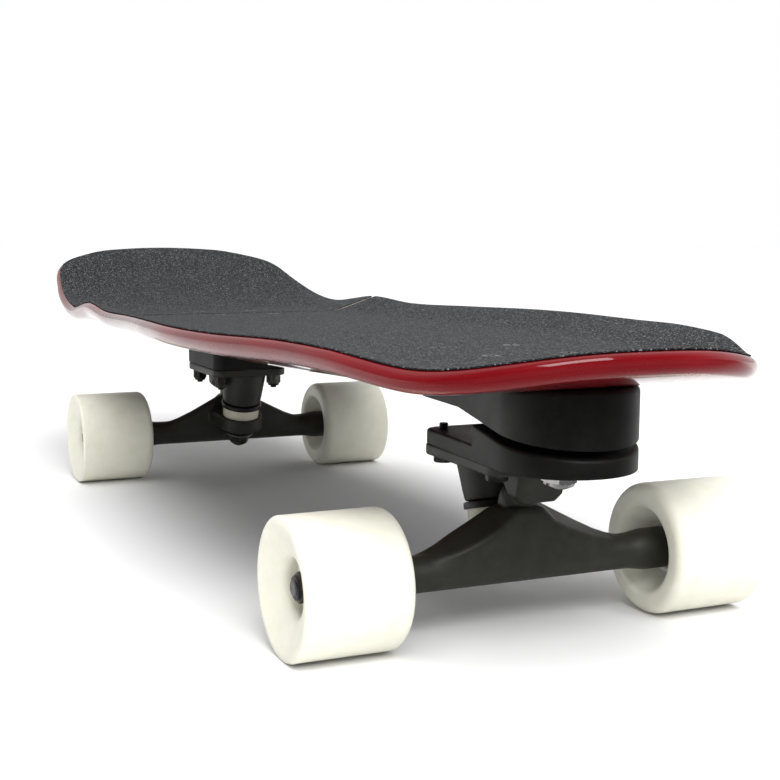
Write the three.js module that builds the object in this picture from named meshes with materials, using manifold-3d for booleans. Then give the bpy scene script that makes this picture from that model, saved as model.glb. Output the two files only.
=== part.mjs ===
// Surf skateboard: a kicked seven-ply deck on two kingpin trucks, the front one on a swivelling surf arm.
// Millimetres, +X to the nose, +Y to the left, +Z up. The origin is on the floor under the board's middle.

import * as THREE from "three";
import { mergeVertices } from "three/addons/utils/BufferGeometryUtils.js";
import { ConvexGeometry } from "three/addons/geometries/ConvexGeometry.js";
import Module from "manifold-3d";

const wasm = await Module();
wasm.setup();

// Shared values
const clearance = 0.3; // gap left between pieces that touch
const overrun = 20; // how far a cutting tool passes the surface it cuts
const boltSegments = 10;
const roundSegments = 16;
const fineSegments = 24;
const quarterTurn = Math.PI / 2;
const degree = Math.PI / 180;

// Wheels and bearings
const wheelRadius = 32.5;
const wheelWidth = 52;
const wheelOuterBevel = 2;
const wheelInnerBevel = 6;
const wheelRimWidth = 3.5;
const wheelDishRadius = 21;
const wheelDishDepth = 3;
const wheelMouthRadius = 13;
const wheelMouthDepth = 7;
const wheelBackRadius = 22;
const wheelCoreRadius = 9;
const bearingRadius = 11;
const bearingBoreRadius = 4.4;
const bearingWidth = 7;
const bearingSpacing = 17; // between the middles of the two bearings of a wheel
const bearingOffset = 0.9; // the pair sits this much further out than the wheel's middle
const hangerGap = 1.1; // for a speed washer between the hanger's end and the inner bearing

// Axles
const wheelbase = 450.5;
const axleRadius = 4;
const axleNutAcross = 12.7;
const axleNutHeight = 7;
const axleEndPast = 2.2;
const axleEndBevel = 0.8;

// Trucks, measured from the axle: X towards the board's end, Z from the floor
const truckHeight = 52; // from the axle to the top of the baseplate
const flangeLength = 76;
const flangeWidth = 56;
const flangeThickness = 5.5;
const flangeCorner = 8;
const patternLength = 54;
const patternWidth = 41.3;
const patternSetback = 14.25; // from the axle to the middle of the bolt pattern
const boltRadius = 2.4;
const boltHoleRadius = 2.8;

const kingpinLean = 15; // degrees off upright, its top towards the board's middle
const kingpinRadius = 4.75;
const kingpinHeadAcross = 14.3;
const kingpinHeadHeight = 5.5;
const kingpinTail = 1.5;
const kingpinHeadRoom = 0.9; // round the corners of its head
const ringSetback = 23.25; // from the axle to the middle of the hanger's ring
const ringLift = 10.2; // from the axle up to the middle of the ring
const ringRadius = 16.5;
const ringThickness = 9.8;
const ringHoleRadius = 7.2;
const ringSeatRadius = 13.9;
const ringSeatDepth = 2;

const boardsideBushingHeight = 10.6;
const boardsideBushingRadius = 13.4;
const roadsideBushingHeight = 5.6;
const roadsideBushingRadius = 12.4;
const roadsideBushingEndRadius = 9.8;
const bushingBoreRadius = 5.2;
const washerThickness = 1.5;
const cupWasherRadius = 15;
const cupWasherDepth = 3.6;
const lowerWasherRadius = 10.6;
const kingpinNutAcross = 14.3;
const kingpinNutHeight = 7.2;

const bossEndRadius = 13.9;
const bossRootRadius = 17;
const steeringSlope = 45; // degrees of the steering axis above level
const pivotCupStart = 38.4; // along the steering axis from the ring's middle
const pivotCupLength = 11.6;
const pivotCupRadius = 7.4;
const pivotCupLipRadius = 8.8;
const pivotCupLipThickness = 1.4;
const pivotNoseRadius = 5.6;
const pivotNoseTaper = 1;
const pivotHousingHalfWidth = 12.5;
const pivotHousingDrop = 20; // of its underside under the baseplate's top
const pivotHousingReach = 22; // of its front face ahead of the axle, at the top
const pivotHousingDraft = 5; // that its front face falls back at the bottom
const pivotHousingCorner = 3.5;

const hangerWidth = 165;
const hangerEndRadius = 10.2;
const hangerTubeRadius = 8.7;
const hangerEndLength = 13;
const hangerFlareLength = 13;
const hangerWebHalfWidth = 52;
const hangerWebRadius = 3.6;
const hangerCrestSetback = 6; // of the wing's crest behind the axle
const hangerRidgeReach = 5; // of the wing's outer ridge ahead of the axle
const hangerNeckHalfWidth = 9;
const hangerNeckCrest = 28; // heights over the axle
const hangerNeckRidge = 26.5;
const hangerShoulderHalfWidth = 16;
const hangerShoulderCrest = 25.4;
const hangerShoulderRidge = 20.4;
const hangerMidHalfWidth = 34;
const hangerMidCrest = 16.2;
const hangerMidRidge = 12.2;
const hangerYokeHalfWidth = 17;
const hangerYokeCrest = 14;
const hangerNeckRadius = 9.2;
const hangerNeckStart = 17; // along the steering axis from the ring's middle
const hangerNeckEnd = 30;
const reliefWidth = 8; // of the hanger's relief round the cup washer

// Rear riser and front surf adapter
const riserHeight = 29;
const riserLength = 78;
const adapterHeight = 36.7;
const adapterRear = 42; // behind the middle of the truck's bolt pattern
const armRear = 37;
const adapterHalfWidth = 28;
const adapterCorner = 8;
const adapterBevel = 2.5;
const drumRadius = 33;
const swivelReach = 47.5; // from the truck's bolt pattern to the swivel axis
const swivelLean = 8; // degrees off upright, its top towards the nose
const armPlateThickness = 7.5;
const armWedgeStart = 21; // ahead of the truck's bolt pattern
const armWedgeHeight = 13.4; // along the swivel axis
const swivelGap = 3.7;
const adapterStepHeight = 23; // of the adapter's level underside over the baseplate
const adapterPatternSetback = 7; // of the adapter's bolt pattern behind the truck's
const swivelBoltRadius = 6;
const swivelBoltHeadAcross = 19;
const swivelBoltHeadHeight = 7;
const swivelHeadDepth = 2.5; // of the head's top under the deck
const thrustRadius = 21;
const thrustSeatDepth = 1.6;
const swivelNutAcross = 16;
const swivelNutHeight = 9.4;
const swivelWasherRadius = 10;
const swivelWasherThickness = 1.6;
const swivelSpotRadius = 11;
const swivelSpotDepth = 1.9;
const swivelBoltTail = 1.4;
const swivelBearingRadius = 14;
const swivelBearingHeight = 5;

// Fasteners
const deckBoltHeadRadius = 4.7;
const deckBoltHeadHeight = 2.8;
const lockNutAcross = 9.5;
const lockNutHeight = 6;
const lockNutDomeShare = 0.35;
const lockNutDomeRadiusShare = 0.75;
const boltTail = 1.5;
const nutRecessRadius = 6.6;
const nutRecessDepth = 9;
const truckBoltHeadHeight = 3;
const truckBoltStub = 3;

// Deck
const deckNose = 328; // nose tip ahead of the middle of the wheelbase
const deckTail = 436; // tail tip behind it
const deckHalfWidth = 132;
const deckThickness = 10;
const deckSpineMargin = 75;
const deckSteps = 32; // along each side
const gripInset = 3;
const gripThickness = 0.7;
const gripSeamReach = 6; // of the seam ahead of the rear truck's bolt pattern's middle
const gripSeamWidth = 1.2;
const concaveDepth = 12;
const flatShare = 0.62;
const concaveBendShare = 0.35;
const concaveLeastWidthShare = 0.8;
const tailKickLength = 196; // from the tail tip
const tailKickRadius = 358;
const tailKickSlope = 0.42;
const noseKickLength = 53; // from the nose tip
const noseKickRadius = 139;
const noseKickSlope = 0.36;

// Each pair is a share of the deck's length from the tail and of its half width
const outlineShares = [
  [0, 0],
  [0.0036, 0.27],
  [0.012, 0.47],
  [0.045, 0.722],
  [0.1, 0.805],
  [0.25, 0.86],
  [0.38, 0.892],
  [0.5, 0.93],
  [0.603, 0.985],
  [0.67, 1],
  [0.747, 0.961],
  [0.832, 0.865],
  [0.902, 0.765],
  [0.966, 0.549],
  [0.9935, 0.3],
  [1, 0],
];

// Each pair is a share of the deck's length from the tail and of the concave's full depth
const concaveShares = [
  [0, 0.125],
  [0.149, 0.125],
  [0.208, 0.34],
  [0.253, 0.73],
  [0.302, 1],
  [0.387, 0.7],
  [0.5, 0.775],
  [0.603, 0.85],
  [0.747, 0.77],
  [0.832, 0.8],
  [0.902, 0.54],
  [0.942, 0.2],
  [1, 0.125],
];

// Places worked out from the values above
const axleHeight = wheelRadius;
const baseplateTop = axleHeight + truckHeight;
const patternMiddle = wheelbase / 2 - patternSetback;
const deckLength = deckNose + deckTail;
const gripSeam = gripSeamReach - patternMiddle;
const hangerEnd = hangerWidth / 2;
const rearSeat = baseplateTop + riserHeight;
const frontSeat = baseplateTop + adapterHeight;
const deckSlope = (frontSeat - rearSeat) / (2 * patternMiddle);
const drumMiddle = patternMiddle + swivelReach + (Math.tan(swivelLean * degree) * adapterHeight) / 2;
const deckLevel = (frontSeat + rearSeat) / 2;
const ringHeight = axleHeight + ringLift;
const bearingInnerFace = hangerEnd + hangerGap;
const bearingOuterFace = bearingInnerFace + bearingSpacing + bearingWidth;
const wheelMiddle = (bearingInnerFace + bearingOuterFace) / 2 - bearingOffset;
const axleNutStart = bearingOuterFace + clearance;
const axleEnd = axleNutStart + axleNutHeight + axleEndPast;

// Distances along the kingpin and the steering axis, up from the ring's middle
const ringHalf = ringThickness / 2;
const seatFace = ringHalf - ringSeatDepth + clearance;
const cupWasherFace = seatFace + boardsideBushingHeight + clearance;
const cupWasherTop = cupWasherFace + washerThickness;
const bossEnd = cupWasherTop + clearance;
const lowerWasherTop = -seatFace - roadsideBushingHeight - clearance;
const kingpinNutTop = lowerWasherTop - washerThickness - clearance;
const kingpinEnd = kingpinNutTop - kingpinNutHeight - kingpinTail;
const pivotHousingStart = pivotCupStart + pivotCupLipThickness + clearance;
const bossLength = (baseplateTop - ringHeight) / Math.cos(kingpinLean * degree) - bossEnd;
const kingpinHeadSeat = bossEnd + bossLength - 2 * kingpinHeadHeight;

// Distances along the swivel, up from the top of the truck's baseplate
const swivelHeadSeat = adapterHeight / Math.cos(swivelLean * degree) - swivelBoltHeadHeight - swivelHeadDepth;
const swivelNutLow = swivelSpotDepth - clearance - swivelWasherThickness - swivelNutHeight;

const finishes = {
  maple: { color: 0xa80f16, roughness: 0.15, metalness: 0 },
  grip: { color: 0x2a2c2e, roughness: 0.95, metalness: 0 },
  blackMetal: { color: 0x16171a, roughness: 0.45, metalness: 0.4 },
  steel: { color: 0xb9bcc0, roughness: 0.3, metalness: 1 },
  greyPlastic: { color: 0x55585b, roughness: 0.6, metalness: 0 },
  urethane: { color: 0xeceade, roughness: 0.45, metalness: 0 },
  creamUrethane: { color: 0xd9d8c4, roughness: 0.5, metalness: 0 },
  blackUrethane: { color: 0x1c1c1d, roughness: 0.6, metalness: 0 },
  blackSteel: { color: 0x1b1c1f, roughness: 0.4, metalness: 0.8 },
};

const materials = Object.fromEntries(
  Object.entries(finishes).map(([name, finish]) => [name, new THREE.MeshStandardMaterial(finish)]),
);

// Solids

function solidFrom(geometry) {
  const bare = geometry.index ? geometry.toNonIndexed() : geometry.clone();
  for (const name of Object.keys(bare.attributes)) {
    if (name !== "position") bare.deleteAttribute(name);
  }
  const merged = mergeVertices(bare);
  return new wasm.Manifold(
    new wasm.Mesh({
      numProp: 3,
      vertProperties: merged.attributes.position.array,
      triVerts: new Uint32Array(merged.index.array),
    }),
  );
}

function geometryFrom(solid) {
  const mesh = solid.getMesh();
  const geometry = new THREE.BufferGeometry();
  geometry.setAttribute("position", new THREE.BufferAttribute(new Float32Array(mesh.vertProperties), 3));
  geometry.setIndex(new THREE.BufferAttribute(new Uint32Array(mesh.triVerts), 1));
  const shaded = geometry.toNonIndexed();
  shaded.computeVertexNormals();
  return shaded;
}

function join(...solids) {
  return solids.reduce((sum, solid) => sum.add(solid));
}

function cut(solid, ...tools) {
  return tools.reduce((rest, tool) => rest.subtract(tool), solid);
}

function meshOf(name, solid, material) {
  const mesh = new THREE.Mesh(geometryFrom(solid), material);
  mesh.name = name;
  return mesh;
}

// A solid of revolution about +Z from a closed profile of [radius, height] points
function turned(profile, segments = roundSegments) {
  const points = profile.map(([radius, height]) => new THREE.Vector2(radius, height));
  const onAxis = points[0].x === 0;
  if (THREE.ShapeUtils.area(points) < 0) points.reverse();
  if (!onAxis) points.push(points[0].clone());
  return new THREE.LatheGeometry(points, segments).rotateX(quarterTurn);
}

function rod(radius, low, high, segments = roundSegments) {
  return turned([[0, low], [radius, low], [radius, high], [0, high]], segments);
}

function ring(inner, outer, low, high, segments = roundSegments) {
  return turned([[inner, low], [outer, low], [outer, high], [inner, high]], segments);
}

function hexagon(across, low, high) {
  const corner = across / Math.sqrt(3);
  return rod(corner, low, high, 6);
}

function block(sizeX, sizeY, sizeZ) {
  return new THREE.BoxGeometry(sizeX, sizeY, sizeZ);
}

// Turns a shape made on +Z so that it leans by an angle towards +X and stands at a place
function leaned(geometry, lean, x, z) {
  return geometry.rotateY(lean).translate(x, 0, z);
}

function hull(points) {
  return new ConvexGeometry(points);
}

function arcPoints(x, y, z, radius, from, to, steps) {
  return Array.from({ length: steps + 1 }, (_, i) => {
    const angle = from + ((to - from) * i) / steps;
    return new THREE.Vector3(x + radius * Math.cos(angle), y + radius * Math.sin(angle), z);
  });
}

function roundedSlab(length, width, corner, low, high) {
  const points = [];
  for (const [signX, signY, from] of [[1, 1, 0], [-1, 1, 1], [-1, -1, 2], [1, -1, 3]]) {
    const x = signX * (length / 2 - corner);
    const y = signY * (width / 2 - corner);
    for (const z of [low, high]) {
      points.push(...arcPoints(x, y, z, corner, from * quarterTurn, (from + 1) * quarterTurn, 4));
    }
  }
  return hull(points);
}

// The four places of a bolt pattern about a middle
function patternPlaces(middle) {
  const places = [];
  for (const signX of [1, -1]) {
    for (const signY of [1, -1]) {
      places.push([middle + (signX * patternLength) / 2, (signY * patternWidth) / 2]);
    }
  }
  return places;
}

const placeNames = ["outer_left", "outer_right", "inner_left", "inner_right"];

// Deck surface

function outlineCurve() {
  const side = outlineShares.map(([along, wide]) => [along * deckLength - deckTail, wide * deckHalfWidth]);
  const left = side.map(([x, y]) => new THREE.Vector3(x, -y, 0));
  const right = side.slice(1, -1).reverse().map(([x, y]) => new THREE.Vector3(x, y, 0));
  return new THREE.CatmullRomCurve3([...left, ...right], true, "centripetal");
}

// Points round the deck, seen from above, with the inward direction at each
function outlineRing() {
  const curve = outlineCurve();
  const count = 2 * deckSteps;
  return Array.from({ length: count }, (_, i) => {
    const point = curve.getPointAt(i / count);
    const along = curve.getTangentAt(i / count);
    return { x: point.x, y: point.y, inX: -along.y, inY: along.x };
  });
}

const outline = outlineRing();

function halfWidthAt(x) {
  let widest = 0;
  for (let i = 0; i < deckSteps; i += 1) {
    const a = outline[i];
    const b = outline[i + 1];
    if (x >= a.x && x <= b.x) {
      const share = (x - a.x) / (b.x - a.x);
      widest = Math.max(widest, Math.abs(a.y + share * (b.y - a.y)));
    }
  }
  return Math.max(widest, concaveLeastWidthShare * deckHalfWidth);
}

const concaveSpline = new THREE.CubicInterpolant(
  new Float32Array(concaveShares.map(([along]) => along * deckLength - deckTail)),
  new Float32Array(concaveShares.map(([, deep]) => deep * concaveDepth)),
  1,
);

function kickRise(distance, radius, slope) {
  if (distance <= 0) return 0;
  const curved = Math.min(distance, slope * radius);
  return (curved * curved) / (2 * radius) + (distance - curved) * slope;
}

function concaveRise(x, y) {
  const past = (Math.abs(y) / halfWidthAt(x) - flatShare) / (1 - flatShare);
  if (past <= 0) return 0;
  const bend = concaveBendShare;
  const rise = past < bend ? (past * past) / (2 * bend) : past - bend / 2;
  return (concaveSpline.evaluate(x)[0] * rise) / (1 - bend / 2);
}

// Height of the deck's underside
function deckUnder(x, y) {
  const plane = deckLevel + deckSlope * x;
  const tail = kickRise(tailKickLength - deckTail - x, tailKickRadius, tailKickSlope);
  const nose = kickRise(x + noseKickLength - deckNose, noseKickRadius, noseKickSlope);
  return plane + tail + nose + concaveRise(x, y);
}

function deckTop(x, y) {
  return deckUnder(x, y) + deckThickness;
}

function gripTop(x, y) {
  return deckTop(x, y) + clearance + gripThickness;
}

// A ring of points at a share of the way from the spine to the outline, inset from it
function sheetRing(share, inset, height) {
  return outline.map(({ x, y, inX, inY }) => {
    const edgeX = x + inset * inX;
    const edgeY = y + inset * inY;
    const spineX = THREE.MathUtils.clamp(edgeX, deckSpineMargin - deckTail, deckNose - deckSpineMargin);
    const placeX = spineX + share * (edgeX - spineX);
    const placeY = share * edgeY;
    return new THREE.Vector3(placeX, placeY, height(placeX, placeY));
  });
}

// Two triangles over a quad, split along its shorter diagonal
function quadCorners(a, b, c, d) {
  const straight = a.distanceToSquared(c) < b.distanceToSquared(d);
  return straight ? [a, b, c, a, c, d] : [a, b, d, b, c, d];
}

// A closed skin through rings that run from the top's spine over the edge to the underside's spine
function skinOver(rings) {
  const positions = [];
  for (let j = 0; j + 1 < rings.length; j += 1) {
    const upper = rings[j];
    const lower = rings[j + 1];
    for (let i = 0; i < upper.length; i += 1) {
      const next = (i + 1) % upper.length;
      for (const corner of quadCorners(upper[i], lower[i], lower[next], upper[next])) {
        positions.push(corner.x, corner.y, corner.z);
      }
    }
  }
  const geometry = new THREE.BufferGeometry();
  geometry.setAttribute("position", new THREE.Float32BufferAttribute(positions, 3));
  return geometry;
}

const sheetShares = [0, flatShare, 0.75, 0.87, 1];

function deckBlank() {
  const railRadius = deckThickness / 2;
  const gripEdgeAngle = Math.acos(1 - gripInset / railRadius);
  const railAngles = [gripEdgeAngle, gripEdgeAngle / 2, 0, -gripEdgeAngle / 2, -gripEdgeAngle];
  const top = sheetShares.map((share) => sheetRing(share, railRadius, deckTop));
  const rail = railAngles.map((angle) =>
    sheetRing(1, railRadius * (1 - Math.cos(angle)), (x, y) =>
      deckUnder(x, y) + railRadius * (1 + Math.sin(angle)),
    ),
  );
  const under = sheetShares.map((share) => sheetRing(share, railRadius, deckUnder)).reverse();
  return solidFrom(skinOver([...top, ...rail, ...under]));
}

function gripBlank() {
  const railRadius = deckThickness / 2;
  const gripUnder = (x, y) => deckTop(x, y) + clearance;
  const top = sheetShares.map((share) => sheetRing(share, railRadius, gripTop));
  const edge = [sheetRing(1, gripInset, gripTop), sheetRing(1, gripInset, gripUnder)];
  const under = sheetShares.map((share) => sheetRing(share, railRadius, gripUnder)).reverse();
  return solidFrom(skinOver([...top, ...edge, ...under]));
}

function holeAt([x, y], radius, low, high) {
  return solidFrom(rod(radius, low, high, boltSegments).translate(x, y, 0));
}

function frontBoltPlaces() {
  return patternPlaces(patternMiddle - adapterPatternSetback);
}

function rearBoltPlaces() {
  return patternPlaces(patternMiddle).map(([x, y]) => [-x, -y]);
}

function deckBoltHoles() {
  return [...frontBoltPlaces(), ...rearBoltPlaces()].map((place) => {
    const top = gripTop(...place);
    const headLow = top - deckBoltHeadHeight - clearance;
    const profile = [
      [0, deckUnder(...place) - overrun],
      [boltHoleRadius, deckUnder(...place) - overrun],
      [boltHoleRadius, headLow],
      [deckBoltHeadRadius + clearance, top - clearance],
      [deckBoltHeadRadius + clearance, top + overrun],
      [0, top + overrun],
    ];
    return solidFrom(turned(profile, boltSegments).translate(...place, 0));
  });
}

function buildDeck() {
  const holes = deckBoltHoles();
  const grip = cut(gripBlank(), ...holes);
  const reach = deckLength + overrun;
  const ahead = block(reach, 2 * reach, 2 * reach).translate(gripSeam + gripSeamWidth / 2 + reach / 2, 0, 0);
  const behind = block(reach, 2 * reach, 2 * reach).translate(gripSeam - gripSeamWidth / 2 - reach / 2, 0, 0);
  return [
    meshOf("deck", cut(deckBlank(), ...holes), materials.maple),
    meshOf("grip_tape_front", grip.intersect(solidFrom(ahead)), materials.grip),
    meshOf("grip_tape_rear", grip.intersect(solidFrom(behind)), materials.grip),
  ];
}

// Wheels

function wheelSolid() {
  const half = wheelWidth / 2;
  const pocketRadius = bearingRadius + clearance;
  const pocketInner = bearingInnerFace - wheelMiddle;
  const pocketOuter = bearingOuterFace - wheelMiddle;
  const coreInner = pocketInner + bearingWidth + clearance;
  const coreOuter = pocketOuter - bearingWidth - clearance;
  const innerBevelMiddle = wheelInnerBevel * (1 - Math.SQRT1_2);
  const profile = [
    [wheelCoreRadius, coreInner],
    [pocketRadius, coreInner],
    [pocketRadius, pocketInner],
    [wheelMouthRadius, pocketInner - clearance],
    [wheelBackRadius, -half],
    [wheelRadius - wheelInnerBevel, -half],
    [wheelRadius - innerBevelMiddle, -half + innerBevelMiddle],
    [wheelRadius, -half + wheelInnerBevel],
    [wheelRadius, half - wheelOuterBevel],
    [wheelRadius - wheelOuterBevel, half],
    [wheelRadius - wheelRimWidth, half],
    [wheelDishRadius, half - wheelDishDepth],
    [wheelMouthRadius, half - wheelMouthDepth],
    [wheelMouthRadius, pocketOuter],
    [pocketRadius, pocketOuter],
    [pocketRadius, coreOuter],
    [wheelCoreRadius, coreOuter],
  ];
  // Flats touch the round, so that one of them lies on the floor
  const flatScale = 1 / Math.cos(Math.PI / fineSegments);
  const flatDown = Math.PI / fineSegments;
  return turned(profile, fineSegments)
    .rotateZ(quarterTurn + flatDown)
    .scale(flatScale, flatScale, 1)
    .rotateX(-quarterTurn);
}

function bearingSolid() {
  const half = bearingWidth / 2;
  return ring(bearingBoreRadius, bearingRadius, -half, half).rotateX(-quarterTurn);
}

function buildWheel(name, side) {
  const turn = side > 0 ? 0 : Math.PI;
  const group = new THREE.Group();
  const innerBearing = bearingInnerFace + bearingWidth / 2 - wheelMiddle;
  const outerBearing = innerBearing + bearingSpacing;
  const pieces = [
    meshOf("wheel_" + name, solidFrom(wheelSolid()), materials.urethane),
    meshOf("inner_bearing_" + name, solidFrom(bearingSolid().translate(0, innerBearing, 0)), materials.steel),
    meshOf("outer_bearing_" + name, solidFrom(bearingSolid().translate(0, outerBearing, 0)), materials.steel),
  ];
  group.add(...pieces);
  group.position.set(0, side * wheelMiddle, axleHeight);
  group.rotation.z = turn;
  return group;
}

// Trucks

function onKingpin(geometry) {
  return leaned(geometry, -kingpinLean * degree, -ringSetback, ringHeight);
}

function onSteering(geometry) {
  return leaned(geometry, quarterTurn - steeringSlope * degree, -ringSetback, ringHeight);
}

function baseplateSolid() {
  const flangeLow = baseplateTop - flangeThickness;
  const flange = roundedSlab(flangeLength, flangeWidth, flangeCorner, flangeLow, baseplateTop)
    .translate(-patternSetback, 0, 0);
  const boss = onKingpin(
    turned([
      [0, bossEnd],
      [bossEndRadius, bossEnd],
      [bossRootRadius, bossEnd + bossLength],
      [bossRootRadius, bossEnd + bossLength + bossRootRadius],
      [0, bossEnd + bossLength + bossRootRadius],
    ], fineSegments),
  );
  const body = join(solidFrom(flange), solidFrom(boss), solidFrom(pivotHousing()));
  const trimmed = body.intersect(solidFrom(
    block(2 * flangeLength, flangeWidth, baseplateTop).translate(-patternSetback, 0, baseplateTop / 2),
  ));
  const boltHoles = patternPlaces(-patternSetback).map((place) =>
    holeAt(place, boltHoleRadius, flangeLow - overrun, baseplateTop + overrun),
  );
  const kingpinHole = onKingpin(rod(kingpinRadius + clearance, 0, kingpinHeadSeat + overrun));
  const pocketRadius = kingpinHeadAcross / Math.sqrt(3) + kingpinHeadRoom;
  const headPocket = onKingpin(rod(pocketRadius, kingpinHeadSeat, kingpinHeadSeat + 2 * overrun));
  const cupSocket = onSteering(rod(pivotCupRadius + clearance, 0, pivotCupStart + pivotCupLength + clearance));
  return cut(
    trimmed,
    ...boltHoles,
    solidFrom(kingpinHole),
    solidFrom(headPocket),
    solidFrom(cupSocket),
  );
}

// The block that holds the pivot cup: its mouth faces down the steering axis, its front face stands up
function pivotHousing() {
  const mouth = pivotHousingStart / Math.cos(steeringSlope * degree);
  const mouthX = (z) => mouth - ringSetback - (z - ringHeight) * Math.tan(steeringSlope * degree);
  const low = baseplateTop - pivotHousingDrop;
  const flangeLow = baseplateTop - flangeThickness;
  const frontX = (z) => pivotHousingReach - (pivotHousingDraft * (baseplateTop - z)) / pivotHousingDrop;
  const corner = pivotHousingCorner;
  const points = [];
  for (const [z, inset] of [[low, corner], [low + corner, 0], [flangeLow, 0], [baseplateTop, 0]]) {
    const y = pivotHousingHalfWidth - inset;
    for (const side of [1, -1]) {
      points.push(new THREE.Vector3(frontX(z), side * (y - corner / 2), z));
      points.push(new THREE.Vector3(frontX(z) - corner / 2, side * y, z));
      points.push(new THREE.Vector3(mouthX(z), side * y, z));
    }
  }
  return hull(points);
}

function pivotCupSolid() {
  const end = pivotCupStart + pivotCupLength;
  const bore = pivotNoseRadius + clearance;
  return onSteering(
    turned([
      [bore, pivotCupStart],
      [pivotCupLipRadius, pivotCupStart],
      [pivotCupLipRadius, pivotCupStart + pivotCupLipThickness],
      [pivotCupRadius, pivotCupStart + pivotCupLipThickness],
      [pivotCupRadius, end],
      [0, end],
      [0, end - pivotCupLipThickness],
      [bore, end - pivotCupLipThickness],
    ].reverse()),
  );
}

// Points of a ball of a given size at a place measured from the axle
function ballPoints(x, y, z, radius) {
  const points = [];
  for (const [latitudeShare, count] of [[-1, 1], [-0.5, 8], [0, 8], [0.5, 8], [1, 1]]) {
    const latitude = latitudeShare * quarterTurn;
    for (let i = 0; i < count; i += 1) {
      const turn = (4 * quarterTurn * i) / count;
      points.push(
        new THREE.Vector3(
          x + radius * Math.cos(latitude) * Math.cos(turn),
          y + radius * Math.sin(latitude),
          z + axleHeight + radius * Math.cos(latitude) * Math.sin(turn),
        ),
      );
    }
  }
  return points;
}

// Points round the hanger's tube at a place along the axle
function tubePoints(y) {
  const corner = 4 * quarterTurn / fineSegments;
  return Array.from({ length: fineSegments }, (_, i) =>
    new THREE.Vector3(
      hangerTubeRadius * Math.cos(i * corner),
      y,
      axleHeight + hangerTubeRadius * Math.sin(i * corner),
    ),
  );
}

// The crest and the outer ridge of the hanger's wing at each of its stations
function wingPoints([halfWidth, crest, ridge], side) {
  return [
    ...tubePoints(side * halfWidth),
    ...ballPoints(-hangerCrestSetback, side * halfWidth, crest - hangerWebRadius, hangerWebRadius),
    ...ballPoints(hangerRidgeReach, side * halfWidth, ridge - hangerWebRadius, hangerWebRadius),
  ];
}

function wingSolids(side) {
  const neck = wingPoints([hangerNeckHalfWidth, hangerNeckCrest, hangerNeckRidge], side);
  const shoulder = wingPoints([hangerShoulderHalfWidth, hangerShoulderCrest, hangerShoulderRidge], side);
  const middle = wingPoints([hangerMidHalfWidth, hangerMidCrest, hangerMidRidge], side);
  const end = tubePoints(side * hangerWebHalfWidth);
  return [hull([...neck, ...shoulder]), hull([...shoulder, ...middle]), hull([...middle, ...end])];
}

function yokeHull() {
  const rim = onKingpin(rod(ringRadius, -ringHalf, ringHalf, fineSegments));
  const points = [];
  const positions = rim.getAttribute("position");
  for (let i = 0; i < positions.count; i += 1) {
    points.push(new THREE.Vector3().fromBufferAttribute(positions, i));
  }
  for (const side of [1, -1]) {
    points.push(...ballPoints(-hangerCrestSetback, side * hangerYokeHalfWidth, ringLift, hangerWebRadius));
    points.push(...ballPoints(-hangerCrestSetback, side * hangerYokeHalfWidth, hangerYokeCrest, hangerWebRadius));
  }
  return hull(points);
}

function neckSolid() {
  const cupFloor = pivotCupStart + pivotCupLength - pivotCupLipThickness;
  const noseEnd = cupFloor - clearance;
  return onSteering(
    turned([
      [0, hangerNeckStart],
      [hangerNeckRadius, hangerNeckStart],
      [hangerNeckRadius, hangerNeckEnd],
      [pivotNoseRadius - pivotNoseTaper, pivotCupStart],
      [pivotNoseRadius, noseEnd - pivotNoseRadius / 2],
      [pivotNoseRadius / 2, noseEnd],
      [0, noseEnd],
    ]),
  );
}

function hangerSolid() {
  const endStart = hangerEnd - hangerEndLength;
  const flareStart = endStart - hangerFlareLength;
  const tube = turned([
    [0, -hangerEnd],
    [hangerEndRadius, -hangerEnd],
    [hangerEndRadius, -endStart],
    [hangerTubeRadius, -flareStart],
    [hangerTubeRadius, flareStart],
    [hangerEndRadius, endStart],
    [hangerEndRadius, hangerEnd],
    [0, hangerEnd],
  ], fineSegments);
  const parts = [tube.rotateX(quarterTurn).translate(0, 0, axleHeight), ...wingSolids(1), ...wingSolids(-1)];
  const middle = hull([
    ...wingPoints([hangerNeckHalfWidth, hangerNeckCrest, hangerNeckRidge], 1),
    ...wingPoints([hangerNeckHalfWidth, hangerNeckCrest, hangerNeckRidge], -1),
  ]);
  parts.push(middle, yokeHull(), neckSolid());
  const bore = rod(axleRadius + clearance, -hangerEnd - overrun, hangerEnd + overrun).rotateX(quarterTurn);
  const tools = [
    bore.translate(0, 0, axleHeight),
    onKingpin(rod(ringHoleRadius, -overrun, overrun, fineSegments)),
    onKingpin(rod(ringSeatRadius, ringHalf - ringSeatDepth, 2 * overrun, fineSegments)),
    onKingpin(rod(ringSeatRadius, -2 * overrun, ringSeatDepth - ringHalf, fineSegments)),
    onKingpin(rod(cupWasherRadius + reliefWidth, ringHalf, 2 * overrun, fineSegments)),
  ];
  return cut(join(...parts.map(solidFrom)), ...tools.map(solidFrom));
}

function axleSolid() {
  return turned([
    [0, -axleEnd],
    [axleRadius - axleEndBevel, -axleEnd],
    [axleRadius, axleEndBevel - axleEnd],
    [axleRadius, axleEnd - axleEndBevel],
    [axleRadius - axleEndBevel, axleEnd],
    [0, axleEnd],
  ]).rotateX(-quarterTurn).translate(0, 0, axleHeight);
}

function axleNutSolid(side) {
  const nut = hexagon(axleNutAcross, axleNutStart, axleNutStart + axleNutHeight);
  const bore = rod(axleRadius + clearance, 0, axleEnd + overrun);
  const [blank, hole] = [nut, bore].map((geometry) =>
    solidFrom(geometry.rotateX(-side * quarterTurn).translate(0, 0, axleHeight)),
  );
  return cut(blank, hole);
}

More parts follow.
